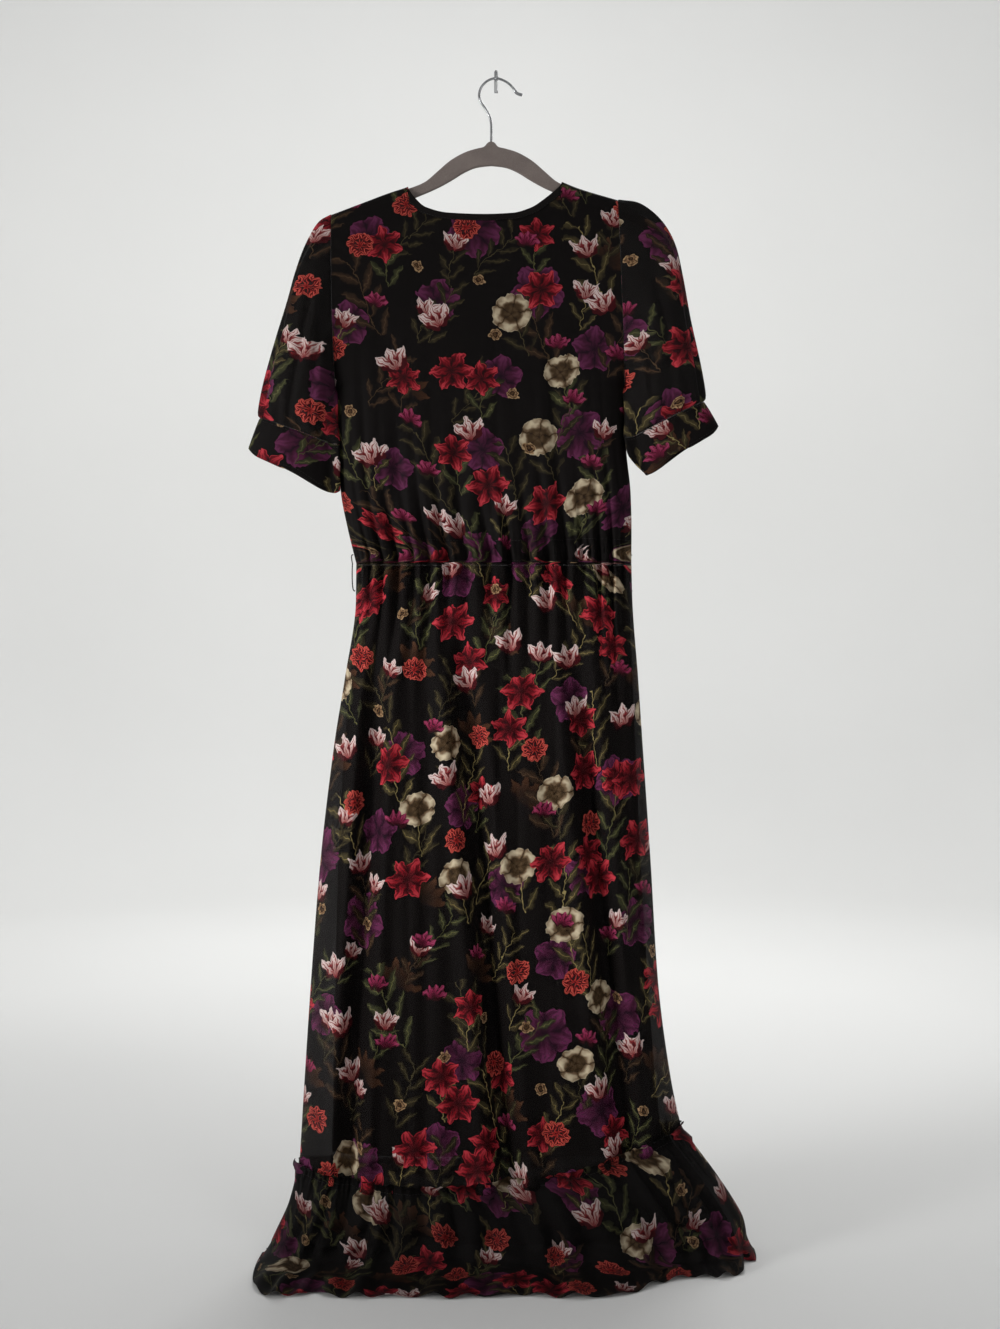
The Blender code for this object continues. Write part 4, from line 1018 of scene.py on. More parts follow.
def lay_tube(points, corner, rings):
    """Where a sleeve's points lie on the flat cloth, in metres: round from its outer line, and down."""
    first, last = rings[0], rings[-1]
    down = unit(np.array((last.x_out + last.x_in - first.x_out - first.x_in, 0.0,
                          last.z_out + last.z_in - first.z_out - first.z_in)))
    ring = np.concatenate((points, points[:, :1]), axis=1)
    along, away, deep = ring @ down, ring @ (down[2], 0.0, -down[0]), ring[..., 1]
    middle = points.shape[1] // 2
    outer = np.interp(along, along[:, middle], away[:, middle])
    depth = deep - np.interp(along, along[:, middle], deep[:, middle])
    half = np.where(np.arange(ring.shape[1]) < middle, -1.0, 1.0)
    return np.stack((half * np.hypot(away - outer, depth), -along), axis=-1) * MM + corner


def grid_faces(rows, width, closed):
    """Corners of the faces between rows of points, by row and column."""
    row = np.arange(rows - 1)[:, None]
    column = np.arange(width if closed else width - 1)[None, :]
    beside = (column + 1) % width
    return np.stack(np.broadcast_arrays(row * width + column, row * width + beside,
                                        (row + 1) * width + beside, (row + 1) * width + column), -1)


def tube_faces(rows, sides):
    """Faces round a tube of points, with a cap at each end."""
    caps = [list(range(sides))[::-1], list(range((rows - 1) * sides, rows * sides))]
    return grid_faces(rows, sides, True).reshape(-1, 4).tolist() + caps


def mesh_object(name, points, faces):
    """Smooth object through points in millimetres."""
    mesh = bpy.data.meshes.new(name)
    mesh.from_pydata((np.reshape(points, (-1, 3)) * MM).tolist(), [], faces)
    mesh.shade_smooth()
    item = bpy.data.objects.new(name, mesh)
    bpy.context.scene.collection.objects.link(item)
    return item


def set_all(item, **settings):
    """Sets several properties of an item."""
    for name, value in settings.items():
        setattr(item, name, value)


def cloth_object(name, points, corner, face_up, thickness=None, rings=None):
    """Sheet of cloth through rows of points, with its lay-flat coordinates and its thickness."""
    lay = lay_tube(points, corner, rings) if rings else lay_panel(points, corner)
    corners = grid_faces(*points.shape[:2], bool(rings))
    flat = np.stack((lay[:-1, :-1], lay[:-1, 1:], lay[1:, 1:], lay[1:, :-1]), axis=2)
    if not face_up:
        corners, flat = corners[..., ::-1], flat[:, :, ::-1]
    item = mesh_object(name, points, corners.reshape(-1, 4).tolist())
    item.data.uv_layers.new(name="lay").data.foreach_set("uv", np.ascontiguousarray(flat).ravel())
    set_all(item.modifiers.new("thickness", "SOLIDIFY"), offset=0.0, use_quality_normals=False,
            thickness=thickness or bpy.context.scene.dress_cloth.thickness, material_offset=1)
    return item


def thread_object(name, line):
    """Cord of two twisted strands along a line of points."""
    along = unit(np.gradient(line, axis=0))
    side = unit(np.cross(along, STRAND_START))
    other = np.cross(along, side)
    angle = 2.0 * np.pi * np.arange(STRAND_SIDES) / STRAND_SIDES
    run = np.linspace(0.0, 1.0, len(line))[:, None]
    swell = 1.0 + STRAND_SWELL * np.cos(2.0 * (angle - 2.0 * np.pi * LOOP_TWISTS * run))
    ring = side[:, None] * np.cos(angle)[None, :, None] + other[:, None] * np.sin(angle)[None, :, None]
    points = line[:, None] + ring * (LOOP_THREAD * swell / (1.0 + STRAND_SWELL))[..., None]
    return mesh_object(name, points, tube_faces(len(line), STRAND_SIDES))


def stitches_object(name, lines):
    """Row of sewn stitches along each line; a line is its points and the way out of the cloth."""
    corners, faces = [], []
    sides = len(STITCH_PROFILE)
    stitch = tube_faces(len(STITCH_SIZES), sides)
    wide, high = STITCH_PROFILE[:, :1] * STITCH_WIDTH, STITCH_PROFILE[:, 1:] * STITCH_HEIGHT
    for points, outward in lines:
        run = lengths(points)
        for start in np.arange(STITCH_GAP, run[-1] - STITCH_LENGTH - STITCH_GAP, STITCH_LENGTH + STITCH_GAP):
            first = len(corners) * sides
            faces.extend([first + corner for corner in face] for face in stitch)
            for share, size in zip(STITCH_SHARES, STITCH_SIZES):
                place = start + share * STITCH_LENGTH
                middle, behind, before = (np.array([np.interp(at, run, points[:, k]) for k in range(3)])
                                          for at in (place, place - STITCH_AHEAD, place + STITCH_AHEAD))
                up = np.array([np.interp(place, run, outward[:, k]) for k in range(3)])
                beside = unit(np.cross(before - behind, up))
                up = unit(up)
                corners.append(middle + wide * beside * size + high * up * size
                               + up * STITCH_HEIGHT * (size - STITCH_END))
    return mesh_object(name, np.concatenate(corners), faces)


# Print, drawn by math steps: the name of each step, its operation and its terms, numbers or earlier names
CELL_SUMS = (
    "column FLOOR x", "odd FLOORED_MODULO column 2", "dropped MULTIPLY_ADD odd 0.5 y", "row FLOOR dropped",
    "across FRACT x", "up FRACT dropped",
)
HEAD_SUMS = (
    "high SUBTRACT y up", "tall MULTIPLY high squash", "angle ARCTAN2 x tall", "slot DIVIDE angle step",
    "nearest ROUND slot", "upper MINIMUM nearest reach", "lowest MULTIPLY reach -1",
    "petal MAXIMUM upper lowest", "off SUBTRACT slot petal", "local MULTIPLY off step",
    "square MULTIPLY x x", "sum MULTIPLY_ADD tall tall square", "distance SQRT sum", "cosine COSINE local",
    "sine SINE local", "beside MULTIPLY distance sine", "out ABSOLUTE beside",
    "run MULTIPLY distance cosine", "along DIVIDE run radius", "bent POWER along point",
    "arc MULTIPLY bent pi", "bell SINE arc", "rounded POWER bell blunt", "half MULTIPLY rounded width",
    "inside SUBTRACT half out", "Mask DIVIDE inside 0.5", "wide ADD half 0.01", "across DIVIDE out wide",
    "ring MULTIPLY along rings", "streak MULTIPLY_ADD across streaks ring", "wave SINE streak",
    "tone MULTIPLY_ADD wave depth along", "near_rim MULTIPLY_ADD inside -0.6 1.3",
    "lit MAXIMUM tone near_rim", "away ABSOLUTE off", "gap MULTIPLY away 2", "narrow POWER gap 10",
    "dark MULTIPLY narrow parted", "light SUBTRACT 1 dark", "level MULTIPLY lit light",
    "spread MULTIPLY_ADD level 0.94 0.03", "shelf ADD spread Kind", "place DIVIDE shelf 8",
)
SPRAY_SUMS = (
    "turn DIVIDE y 24", "curve SINE turn", "bend MULTIPLY curve Bend", "side SUBTRACT x bend",
    "out ABSOLUTE side", "sign SIGN side", "height DIVIDE y Spacing", "rise MULTIPLY out Lean",
    "risen DIVIDE rise Spacing", "from_stem SUBTRACT height risen",
    "place MULTIPLY_ADD sign 0.25 from_stem", "in_cell FRACT place", "centred SUBTRACT in_cell 0.5",
    "distance ABSOLUTE centred", "off MULTIPLY distance Spacing", "along DIVIDE out Length",
    "arc MULTIPLY along pi", "bell SINE arc", "half MULTIPLY bell Width", "inside SUBTRACT half off",
    "leaf DIVIDE inside 0.5", "above SUBTRACT place First", "above_on MULTIPLY above 200",
    "below SUBTRACT Last place", "below_on MULTIPLY below 200", "leaf_on MULTIPLY above_on below_on",
    "leaves MULTIPLY leaf leaf_on", "stem_gap SUBTRACT 0.9 out", "stem DIVIDE stem_gap 0.5",
    "stem_up SUBTRACT Last height", "stem_low SUBTRACT height First", "stem_span MINIMUM stem_up stem_low",
    "stem_on MULTIPLY stem_span 100", "stalk MULTIPLY stem stem_on", "Mask MAXIMUM leaves stalk",
    "wide ADD half 0.01", "Edge DIVIDE off wide", "spread MULTIPLY_ADD Edge 0.92 0.04",
    "on_stem SUBTRACT 1 stem", "toned MULTIPLY spread on_stem", "shelf ADD toned Kind",
    "place_of DIVIDE shelf 4",
)
SCATTER_SUMS = (
    "centred VECTOR_SUBTRACT place half", "inside VECTOR_MULTIPLY centred Size",
    "offset VECTOR_SUBTRACT lot half", "nudge VECTOR_MULTIPLY offset Jitter",
    "nudged VECTOR_ADD inside nudge", "share SUBTRACT Chance 0.5", "angle MULTIPLY share Turn",
    "upright SUBTRACT angle Tilt", "smaller MULTIPLY_ADD part 0.46 0.88",
)
CLAMPED = ("Mask", "along", "bell", "across", "level", "near_rim", "Edge", "leaf", "above_on", "below_on",
           "stem", "stem_on")

# Flower heads of the print in mm: the last two are soft and dim
Head = namedtuple("Head", "up squash step reach radius width point blunt rings streaks depth parted tones")
FULL = 20.0
HEADS = rows_of(
    Head,
    (10, 1.12, 2 * math.pi / 5, FULL, 21.5, 16.5, 0.52, 0.30, 10, 3, 0.18, 0.8,
     ("100905", "43321f", "75604a", "ccbda0")),
    (10, 1.1, math.pi / 3, FULL, 26, 8.6, 0.74, 0.72, 0, 8, 0.20, 0.8,
     ("130305", "39070d", "720f1a", "c03a44")),
    (-6, 1, 0.64, 1, 30, 8.4, 0.66, 0.80, 0, 11, 0.36, 0.9, ("36060c", "80262a", "a07a74", "dac6c2")),
    (12, 1.1, 2 * math.pi / 9, FULL, 18, 7, 0.62, 0.40, 5, 13, 0.55, 0.85,
     ("180305", "540a10", "8a1b1a", "c25448")),
    (6, 1, 0.55, 2, 20, 6.2, 0.70, 0.7, 0, 8, 0.25, 0.6, ("1a040a", "3f0b1b", "691834", "9c3c5e")),
    (8, 1.15, 2 * math.pi / 6, FULL, 10, 6, 0.65, 0.45, 15, 3, 0.30, 0.9,
     ("1a0e08", "46301b", "775a40", "a88a66")),
    (0, 1, 2 * math.pi / 5, FULL, 31, 17, 0.62, 0.45, 0, 9, 0.20, 0.9,
     ("130610", "2c0e20", "441730", "60284a")),
    (-26, 1, 0.60, 2, 42, 8, 0.80, 0.9, 0, 5, 0.12, 0.5, ("100a06", "1e120b", "2f1c11", "482d1d")),
)
KNOBS = (("up", "squash", "step"), ("reach", "radius", "width"), ("point", "blunt", "parted"),
         ("rings", "streaks", "depth"))
TONE_PLACES = (0.03, 0.3, 0.62, 0.97)
LEAF_TONES = (("8a7c50", "463d26", "1e1910"), ("5e5438", "322b1b", "17130c"), ("706e44", "3e3e27", "1c1c11"),
              ("5e4732", "37271b", "1b130c"))
LEAF_PLACES = (0.04, 0.11, 0.96)
Spray = namedtuple("Spray", "First Last Bend Length Width Spacing Lean")
# Layers of the print from the ground up: how each repeats, its first head, how many and how they are
# shared out, and its leaves
Layer = namedtuple("Layer", "Size Shift Jitter Seed Turn Tilt heads leaves")
LAYERS = rows_of(
    Layer,
    ((98, 108, 1), (20, 70, 0), (34, 30, 0), 1.7, 1.6, 0.30, (6.0, 1.98, 1.7), None),
    ((92, 108, 1), (0, 0, 0), (18, 14, 0), 3.3, 1.3, -0.34, None, Spray(-1.7, 1.8, 7, 24, 8.0, 26, 1.1)),
    ((84, 94, 1), (40, 30, 0), (24, 16, 0), 5.5, 0.9, 0.40, (0.0, 3.0, 0.70),
     Spray(-1.8, 0, 4, 21, 7.4, 25, 1.1)),
    ((66, 70, 1), (61, 22, 0), (14, 14, 0), 8.3, 1.4, -0.26, (1.0, 5.0, 0.85), None),
)
GROUND = "0a0605"
# Middle of a cell; the noise of the hand-painted outlines and how far it pushes them; the crepe grain
HALF_CELL = (0.5, 0.5, 0.0)
BRUSH_NOISE = (0.13, 1.0)
BRUSH_DRIFT = 7.0
CREPE_NOISE = (0.9, 2.0)
CREPE_BUMP = (0.12, 0.0003)
CREPE_ROUGHNESS = 0.78
CREPE_SPECULAR = 0.1

# Chiffon, printed: thin crepe-woven polyester, dull and a little sheer, with painted flowers. For each
# way it is laid: how much it covers, and the painted shade that darkens its colour for its lay and small
# gathers
PRINTED = {
    # One layer, hanging free
    "printed_chiffon": (0.84, 1.0),
    # On a black backing, so not sheer; painted shade darkens its colour for the dimmer light on the bodice
    # and cuffs
    "printed_lined": (1.0, 0.7),
    # Eased in small puckers, so that less of the room shows through; painted shade darkens its colour for the
    # shade in the puckers
    "printed_gathered": (0.94, 0.85),
    # Bunched so close that little shows through; strong painted shade darkens its colour for the shade in its
    # close gathers and the dim light at the foot
    "printed_bunched": (0.97, 0.5),
}
# Plain materials: the scale and detail of the fine noise that runs through their tones, those tones and
# their places, the depth of the same noise as a bump, and what is set on the shader. The noise of cloth
# lies on the flat cloth, that of the rest in the object
Plain = namedtuple("Plain", "on_cloth scale detail tones bump settings")
PLAIN = {
    # Wrong side of the chiffon: the black ground struck through, dull, thin and sheer, with crepe grain
    "plain_chiffon": Plain(True, 900.0, 1.0, ((0.3, "0b0808"), (0.7, "171212")), None,
                           {"Roughness": 0.85, "Specular IOR Level": 0.1, "Alpha": 0.3}),
    # Self-fabric binding: the black of the print's ground, doubled, so it is dull and not sheer
    "binding_cloth": Plain(True, 900.0, 2.0, ((0.3, "080605"), (0.7, "130f0e")), (0.3, 0.0003),
                           {"Roughness": 0.8, "Specular IOR Level": 0.12}),
    # Polyester lining: fine plain weave, smoother than the chiffon, so it gives a faint sheen
    "lining_cloth": Plain(True, 1400.0, 1.0, ((0.3, "070606"), (0.7, "0e0c0c")), None,
                          {"Roughness": 0.6, "Specular IOR Level": 0.12}),
    # Sewing thread: spun black polyester, slightly lighter on its fuzzy high side
    "sewing_thread": Plain(False, 2500.0, 1.0, ((0.3, "0c0a0a"), (0.7, "242020")), None,
                           {"Roughness": 0.7, "Specular IOR Level": 0.2}),
    # Flocking: short nylon fibres glued over a moulded hanger, soft, dull and paler at a glance. Real
    # fibres are 0.02 mm thick; their clumps are drawn at 0.6 mm so that they can be seen
    "flocking": Plain(False, 1600.0, 2.0, ((0.3, "6a605c"), (0.55, "7c716c"), (0.8, "9a8f86")), (0.4, 0.0004),
                      {"Roughness": 0.95, "Specular IOR Level": 0.1, "Sheen Weight": 0.25,
                       "Sheen Roughness": 0.5}),
    # Drawn steel wire with bright nickel plating, which mirrors the room, faintly rippled by drawing
    "nickel_wire": Plain(False, 220.0, 2.0, ((0.3, "8f9092"), (0.7, "b4b5b7")), None,
                         {"Metallic": 1.0, "Roughness": 0.24}),
    # Matt pale emulsion paint, rolled on, very slightly cloudy
    "studio_paint": Plain(False, 0.8, 2.0, ((0.3, "e4e4e2"), (0.7, "e8e8e6")), None,
                          {"Roughness": 0.9, "Specular IOR Level": 0.1}),
}
# Wide worn patches over the flocking: the scale and detail of their noise, their tones, and how much
# they show
WORN_NOISE = (60.0, 2.0)
WORN_TONES = ((0.35, "6e6460"), (0.7, "837873"))
WORN_SHARE = 0.35
READY = {}


def linear(code):
    """Linear colour of an sRGB hex code."""
    shares = [int(code[i:i + 2], 16) / 255.0 for i in (0, 2, 4)]
    return (*[s / 12.92 if s <= 0.04045 else ((s + 0.055) / 1.055) ** 2.4 for s in shares], 1.0)


def feed(tree, socket, value):
    """Links a socket to a node's first output or to a socket, or else sets its value."""
    if isinstance(value, bpy.types.Node):
        value = value.outputs[0]
    if isinstance(value, bpy.types.NodeSocket):
        tree.links.new(value, socket)
    elif value is not None:
        socket.default_value = value


def add_node(tree, kind, *inputs, stops=(), between="LINEAR", **settings):
    """Adds a node with its settings, its links or values in order and a ramp's stops, and returns it."""
    node = tree.nodes.new(kind)
    set_all(node, **settings)
    if stops:
        ramp = node.color_ramp
        ramp.interpolation = between
        ramp.elements.remove(ramp.elements[1])
        ramp.elements[0].position = stops[0][0]
        ramp.elements[0].color = stops[0][1]
        for place, colour in stops[1:]:
            ramp.elements.new(place).color = colour
    for socket, value in zip(node.inputs, inputs):
        feed(tree, socket, value)
    return node


def tone_stops(tones):
    """Stops of a ramp from places and sRGB codes."""
    return [(place, linear(code)) for place, code in tones]


def shelf_tones(shelves, places):
    """Stops of one ramp that holds the tones of every kind in turn."""
    return tone_stops([((number + place) / len(shelves), code) for number, tones in enumerate(shelves)
                       for place, code in zip(places, tones)])


def work_out(tree, values, sums):
    """Adds a math node for each step of a table, and keeps it under the step's name."""
    for step in sums:
        name, operation, *terms = step.split()
        inputs = [values[term] if term in values else float(term) for term in terms]
        if operation.startswith("VECTOR_"):
            values[name] = add_node(tree, "ShaderNodeVectorMath", *inputs, operation=operation[7:])
        else:
            values[name] = add_node(tree, "ShaderNodeMath", *inputs, operation=operation,
                                    use_clamp=name in CLAMPED)


def start_group(name, vectors, floats, **values):
    """New node group with its inputs, and those inputs by name beside the given values."""
    group = bpy.data.node_groups.new(name, "ShaderNodeTree")
    for kind, names in (("NodeSocketVector", vectors), ("NodeSocketFloat", floats)):
        for item in names:
            group.interface.new_socket(name=item, in_out="INPUT", socket_type=kind)
    start = add_node(group, "NodeGroupInput")
    values.update({socket.name: socket for socket in start.outputs if socket.name})
    return group, values


def split_point(group, values, point):
    """Keeps the two coordinates of a point on the cloth as x and y."""
    apart = add_node(group, "ShaderNodeSeparateXYZ", point)
    values.update(x=apart.outputs[0], y=apart.outputs[1])


def end_group(group, values, **outputs):
    """Gives a group its outputs, each with its kind of socket."""
    for name, kind in outputs.items():
        group.interface.new_socket(name=name, in_out="OUTPUT", socket_type="NodeSocket" + kind)
    add_node(group, "NodeGroupOutput", *[values[name] for name in outputs])


def make_scatter():
    """Group that finds the point within a cell of a half-drop repeat, shifted and turned by chance."""
    group, values = start_group("scatter", ("Point", "Size", "Shift", "Jitter"), ("Seed", "Turn", "Tilt"),
                                half=HALF_CELL)
    values["leaned"] = add_node(group, "ShaderNodeVectorRotate", values["Point"], None, None, values["Tilt"],
                                rotation_type="Z_AXIS")
    work_out(group, values, ("moved VECTOR_ADD leaned Shift", "scaled VECTOR_DIVIDE moved Size"))
    split_point(group, values, values["scaled"])
    work_out(group, values, CELL_SUMS)
    cell = add_node(group, "ShaderNodeCombineXYZ", values["column"], values["row"], values["Seed"])
    chance = add_node(group, "ShaderNodeTexWhiteNoise", cell, noise_dimensions="3D")
    parts = add_node(group, "ShaderNodeSeparateColor", chance.outputs[1])
    values["place"] = add_node(group, "ShaderNodeCombineXYZ", values["across"], values["up"])
    values.update(Chance=chance.outputs[0], Other=parts.outputs[2], lot=chance.outputs[1], part=parts)
    work_out(group, values, SCATTER_SUMS)
    turned = add_node(group, "ShaderNodeVectorRotate", values["nudged"], None, None, values["upright"],
                      rotation_type="Z_AXIS")
    values["Local"] = add_node(group, "ShaderNodeVectorMath", turned, None, None, values["smaller"],
                               operation="SCALE")
    end_group(group, values, Local="Vector", Chance="Float", Other="Float")


def make_head():
    """Group that draws the flower head of a kind at a point, out of the table of heads."""
    group, values = start_group("head", ("Local",), ("Kind",), pi=math.pi)
    split_point(group, values, values["Local"])
    work_out(group, values, ("kind ADD Kind 0.5", f"looked DIVIDE kind {len(HEADS)}"))
    for names in KNOBS:
        stops = [(number / len(HEADS), (*[float(getattr(head, name)) for name in names], 1.0))
                 for number, head in enumerate(HEADS)]
        row = add_node(group, "ShaderNodeValToRGB", values["looked"], stops=stops, between="CONSTANT")
        values.update(zip(names, add_node(group, "ShaderNodeSeparateColor", row).outputs))
    work_out(group, values, HEAD_SUMS)
    stops = shelf_tones([head.tones for head in HEADS], TONE_PLACES)
    values["Tone"] = add_node(group, "ShaderNodeValToRGB", values["place"], stops=stops)
    end_group(group, values, Mask="Float", Tone="Color")


def make_spray():
    """Group that draws a stem with leaves at a point."""
    group, values = start_group("spray", ("Local",), (*Spray._fields, "Kind"), pi=math.pi)
    split_point(group, values, values["Local"])
    work_out(group, values, SPRAY_SUMS)
    stops = shelf_tones(LEAF_TONES, LEAF_PLACES)
    values["Tone"] = add_node(group, "ShaderNodeValToRGB", values["place_of"], stops=stops)
    end_group(group, values, Mask="Float", Tone="Color")


def lay_shape(tree, colour, cell, name, kind, spray=None):
    """Draws a shape of a kind in each cell over the colours so far, and returns the new colours."""
    shape = add_node(tree, "ShaderNodeGroup", cell.outputs["Local"], node_tree=bpy.data.node_groups[name])
    for knob, value in spray._asdict().items() if spray else ():
        shape.inputs[knob].default_value = value
    feed(tree, shape.inputs["Kind"], add_node(tree, "ShaderNodeMath", kind, operation="FLOOR"))
    return add_node(tree, "ShaderNodeMixRGB", shape.outputs["Mask"], colour, shape.outputs["Tone"])


def add_print(tree):
    """Colours of the flower print on its black ground, at the cloth's lay-flat coordinates."""
    if "scatter" not in bpy.data.node_groups:
        make_scatter()
        make_head()
        make_spray()
    values = {"half": HALF_CELL, "metre": (1.0 / MM, 1.0 / MM, 0.0), "reach": (BRUSH_DRIFT, BRUSH_DRIFT, 0.0)}
    values["lay"] = add_node(tree, "ShaderNodeUVMap", uv_map="lay")
    work_out(tree, values, ("point VECTOR_MULTIPLY lay metre",))
    brush = add_node(tree, "ShaderNodeTexNoise", values["point"], None, *BRUSH_NOISE,
                     noise_dimensions="2D")
    values["brush"] = brush.outputs[1]
    work_out(tree, values, ("drift VECTOR_SUBTRACT brush half", "sway VECTOR_MULTIPLY drift reach",
                            "painted VECTOR_ADD point sway"))
    colour = linear(GROUND)
    for layer in LAYERS:
        cell = add_node(tree, "ShaderNodeGroup", node_tree=bpy.data.node_groups["scatter"])
        feed(tree, cell.inputs["Point"], values["painted"])
        for name in ("Size", "Shift", "Jitter", "Seed", "Turn", "Tilt"):
            cell.inputs[name].default_value = getattr(layer, name)
        if layer.leaves:
            kind = add_node(tree, "ShaderNodeMath", cell.outputs["Other"], float(len(LEAF_TONES)),
                            operation="MULTIPLY")
            colour = lay_shape(tree, colour, cell, "spray", kind, layer.leaves)
        if layer.heads:
            first, count, bias = layer.heads
            skewed = add_node(tree, "ShaderNodeMath", cell.outputs["Chance"], bias, operation="POWER")
            kind = add_node(tree, "ShaderNodeMath", skewed, count, first, operation="MULTIPLY_ADD")
            colour = lay_shape(tree, colour, cell, "head", kind)
    return values["point"], colour


def make_printed(tree, cover, shade):
    """The print of the cloth, darkened by painted shade, and the grain and the dull face of crepe."""
    point, colour = add_print(tree)
    # Painted shade: the print's colour is multiplied by the shade of its lay
    shaded = add_node(tree, "ShaderNodeMixRGB", 1.0, colour, (shade, shade, shade, 1.0),
                      blend_type="MULTIPLY")
    # The crepe grain is drawn at 1.1 mm, coarser than the real 0.4 mm, so that it can be seen
    crepe = add_node(tree, "ShaderNodeTexNoise", point, None, *CREPE_NOISE, noise_dimensions="2D")
    bump = add_node(tree, "ShaderNodeBump", *CREPE_BUMP, None, crepe)
    return {"Base Color": shaded, "Roughness": CREPE_ROUGHNESS, "Specular IOR Level": CREPE_SPECULAR,
            "Alpha": cover, "Normal": bump}


def make_plain(tree, plain, worn):
    """Runs the tones of a plain material through its fine noise, with worn patches over them or not."""
    if plain.on_cloth:
        where = add_node(tree, "ShaderNodeUVMap", uv_map="lay").outputs[0]
    else:
        where = add_node(tree, "ShaderNodeTexCoord").outputs["Object"]
    grain = add_node(tree, "ShaderNodeTexNoise", where, None, plain.scale, plain.detail,
                     noise_dimensions="2D" if plain.on_cloth else "3D")
    tone = add_node(tree, "ShaderNodeValToRGB", grain, stops=tone_stops(plain.tones))
    if worn:
        patch = add_node(tree, "ShaderNodeTexNoise", where, None, *WORN_NOISE)
        patch = add_node(tree, "ShaderNodeValToRGB", patch, stops=tone_stops(WORN_TONES))
        tone = add_node(tree, "ShaderNodeMixRGB", WORN_SHARE, tone, patch)
    looks = {"Base Color": tone, **plain.settings}
    if plain.bump:
        looks["Normal"] = add_node(tree, "ShaderNodeBump", *plain.bump, None, grain)
    return looks


def material_of(name):
    """The named material, made when it is first asked for."""
    if name not in READY:
        READY[name] = bpy.data.materials.new(name)
        READY[name].use_nodes = True
        tree = READY[name].node_tree
        looks = (make_printed(tree, *PRINTED[name]) if name in PRINTED
                 else make_plain(tree, PLAIN[name], name == "flocking"))
        for socket, value in looks.items():
            feed(tree, tree.nodes["Principled BSDF"].inputs[socket], value)
    return READY[name]


def finish_piece(item, slot, materials, *nodes):
    """Gives a finished piece its materials, its body and the CAD nodes it stands for; the slot is not used.
    """
    for name in materials:
        item.data.materials.append(material_of(name))
    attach(item, BODY)
    if nodes:
        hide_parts(*nodes)


def add_cloth(kind, part, points, **sizes):
    """Adds the cloth of a panel or an arm, finished, and keeps its points for what is sewn on it."""
    SHAPES[f"{kind}_{part.name}"] = points
    materials, *corners = CLOTHS[kind]
    face_up = part.out > 0.0
    word, node = ("band", "neck_binding") if kind == "neck" else ("cloth", kind)
    item = cloth_object(f"{kind}_{word}_{part.name}", points, corners[face_up], face_up, **sizes)
    slot = "lining_cloth" if kind == "slip" else "printed_chiffon"
    finish_piece(item, slot, materials, f"{node}_{part.name}")


def size_property(name, description, default, least):
    """Length in metres that the panel of the add-on shows."""
    return FloatProperty(name=name, description=description, default=default, min=least,
                         subtype="DISTANCE", unit="LENGTH")


class DressClothSettings(bpy.types.PropertyGroup):
    """Sizes that the pieces of cloth share."""
    thickness: size_property("Cloth thickness", "Thickness of one layer of cloth", 0.0004, 0.0001)
    band_thickness: size_property("Band thickness", "Thickness of the doubled cuff bands", 0.0014, 0.0002)
    columns_per_step: IntProperty(name="Columns per step", default=6, min=2, max=10,
                                  description="Columns of faces to each gather step of a panel")
    row_height: size_property("Row height", "Height of a row of faces of a panel", 0.0062, 0.002)


class DressHardSettings(bpy.types.PropertyGroup):
    """Sizes of the hanger and of the hooks."""
    hanger_thickness: size_property("Hanger thickness", "Thickness of the hanger", 0.0055, 0.002)
    hanger_round: size_property("Hanger rounding", "Radius of the hanger's edges", 0.0018, 0.0005)
    wire_radius: size_property("Wire radius", "Radius of the hanger's hook", 0.0015, 0.0005)
    peg_radius: size_property("Peg radius", "Radius of the peg of the wall hook", 0.0016, 0.0005)


class DRESS_OT_bodice(bpy.types.Operator):
    """Both panels of the upper body, ruched by the elastic in the casing over the waist seam"""
    bl_idname = "dress.bodice"
    bl_label = "Bodice"

    def execute(self, context):
        for panel in PANELS:
            add_cloth("bodice", panel, ruck_bodice(panel, bodice_points(panel)))
        return {"FINISHED"}


class DRESS_OT_neck(bpy.types.Operator):
    """Narrow dark binding over the edge of the neck, at the back and at the front"""
    bl_idname = "dress.neck"
    bl_label = "Neck binding"

    def execute(self, context):
        for panel in PANELS:
            add_cloth("neck", panel, binding_points(panel, SHAPES["bodice_" + panel.name]))
        return {"FINISHED"}


class DRESS_OT_sleeves(bpy.types.Operator):
    """Both short sleeves, eased into the armhole and gathered into the cuff"""
    bl_idname = "dress.sleeves"
    bl_label = "Sleeves"

    def execute(self, context):
        for arm in ARMS:
            add_cloth("sleeve", arm, sleeve_points(arm), rings=arm.sleeve)
        return {"FINISHED"}


class DRESS_OT_cuffs(bpy.types.Operator):
    """Both cuff bands, of doubled cloth"""
    bl_idname = "dress.cuffs"
    bl_label = "Cuffs"

    def execute(self, context):
        thickness = context.scene.dress_cloth.band_thickness
        for arm in ARMS:
            add_cloth("cuff", arm, cuff_points(arm), rings=arm.cuff, thickness=thickness)
        return {"FINISHED"}


class DRESS_OT_skirt(bpy.types.Operator):
    """Both panels of the outer skirt, gathered under the waist seam"""
    bl_idname = "dress.skirt"
    bl_label = "Skirt"

    def execute(self, context):
        cloth = context.scene.dress_cloth
        share, step = panel_columns(SKIRT_STEPS * cloth.columns_per_step + 1)
        rows = round((WAIST_Z - FLOUNCE_SEAM.middle) * MM / cloth.row_height)
        down = (np.linspace(0.0, 1.0, rows) ** SKIRT_ROW_CROWDING)[:, None]
        for panel in PANELS:
            add_cloth("skirt", panel, ruck_skirt(panel, skirt_points(panel, share, step, down), share, step))
        return {"FINISHED"}


class DRESS_OT_slip(bpy.types.Operator):
    """Both panels of the black lining of the skirt"""
    bl_idname = "dress.slip"
    bl_label = "Lining"

    def execute(self, context):
        share, _ = panel_columns(SLIP_COLUMNS)
        for panel in PANELS:
            add_cloth("slip", panel, slip_points(panel, share))
        return {"FINISHED"}


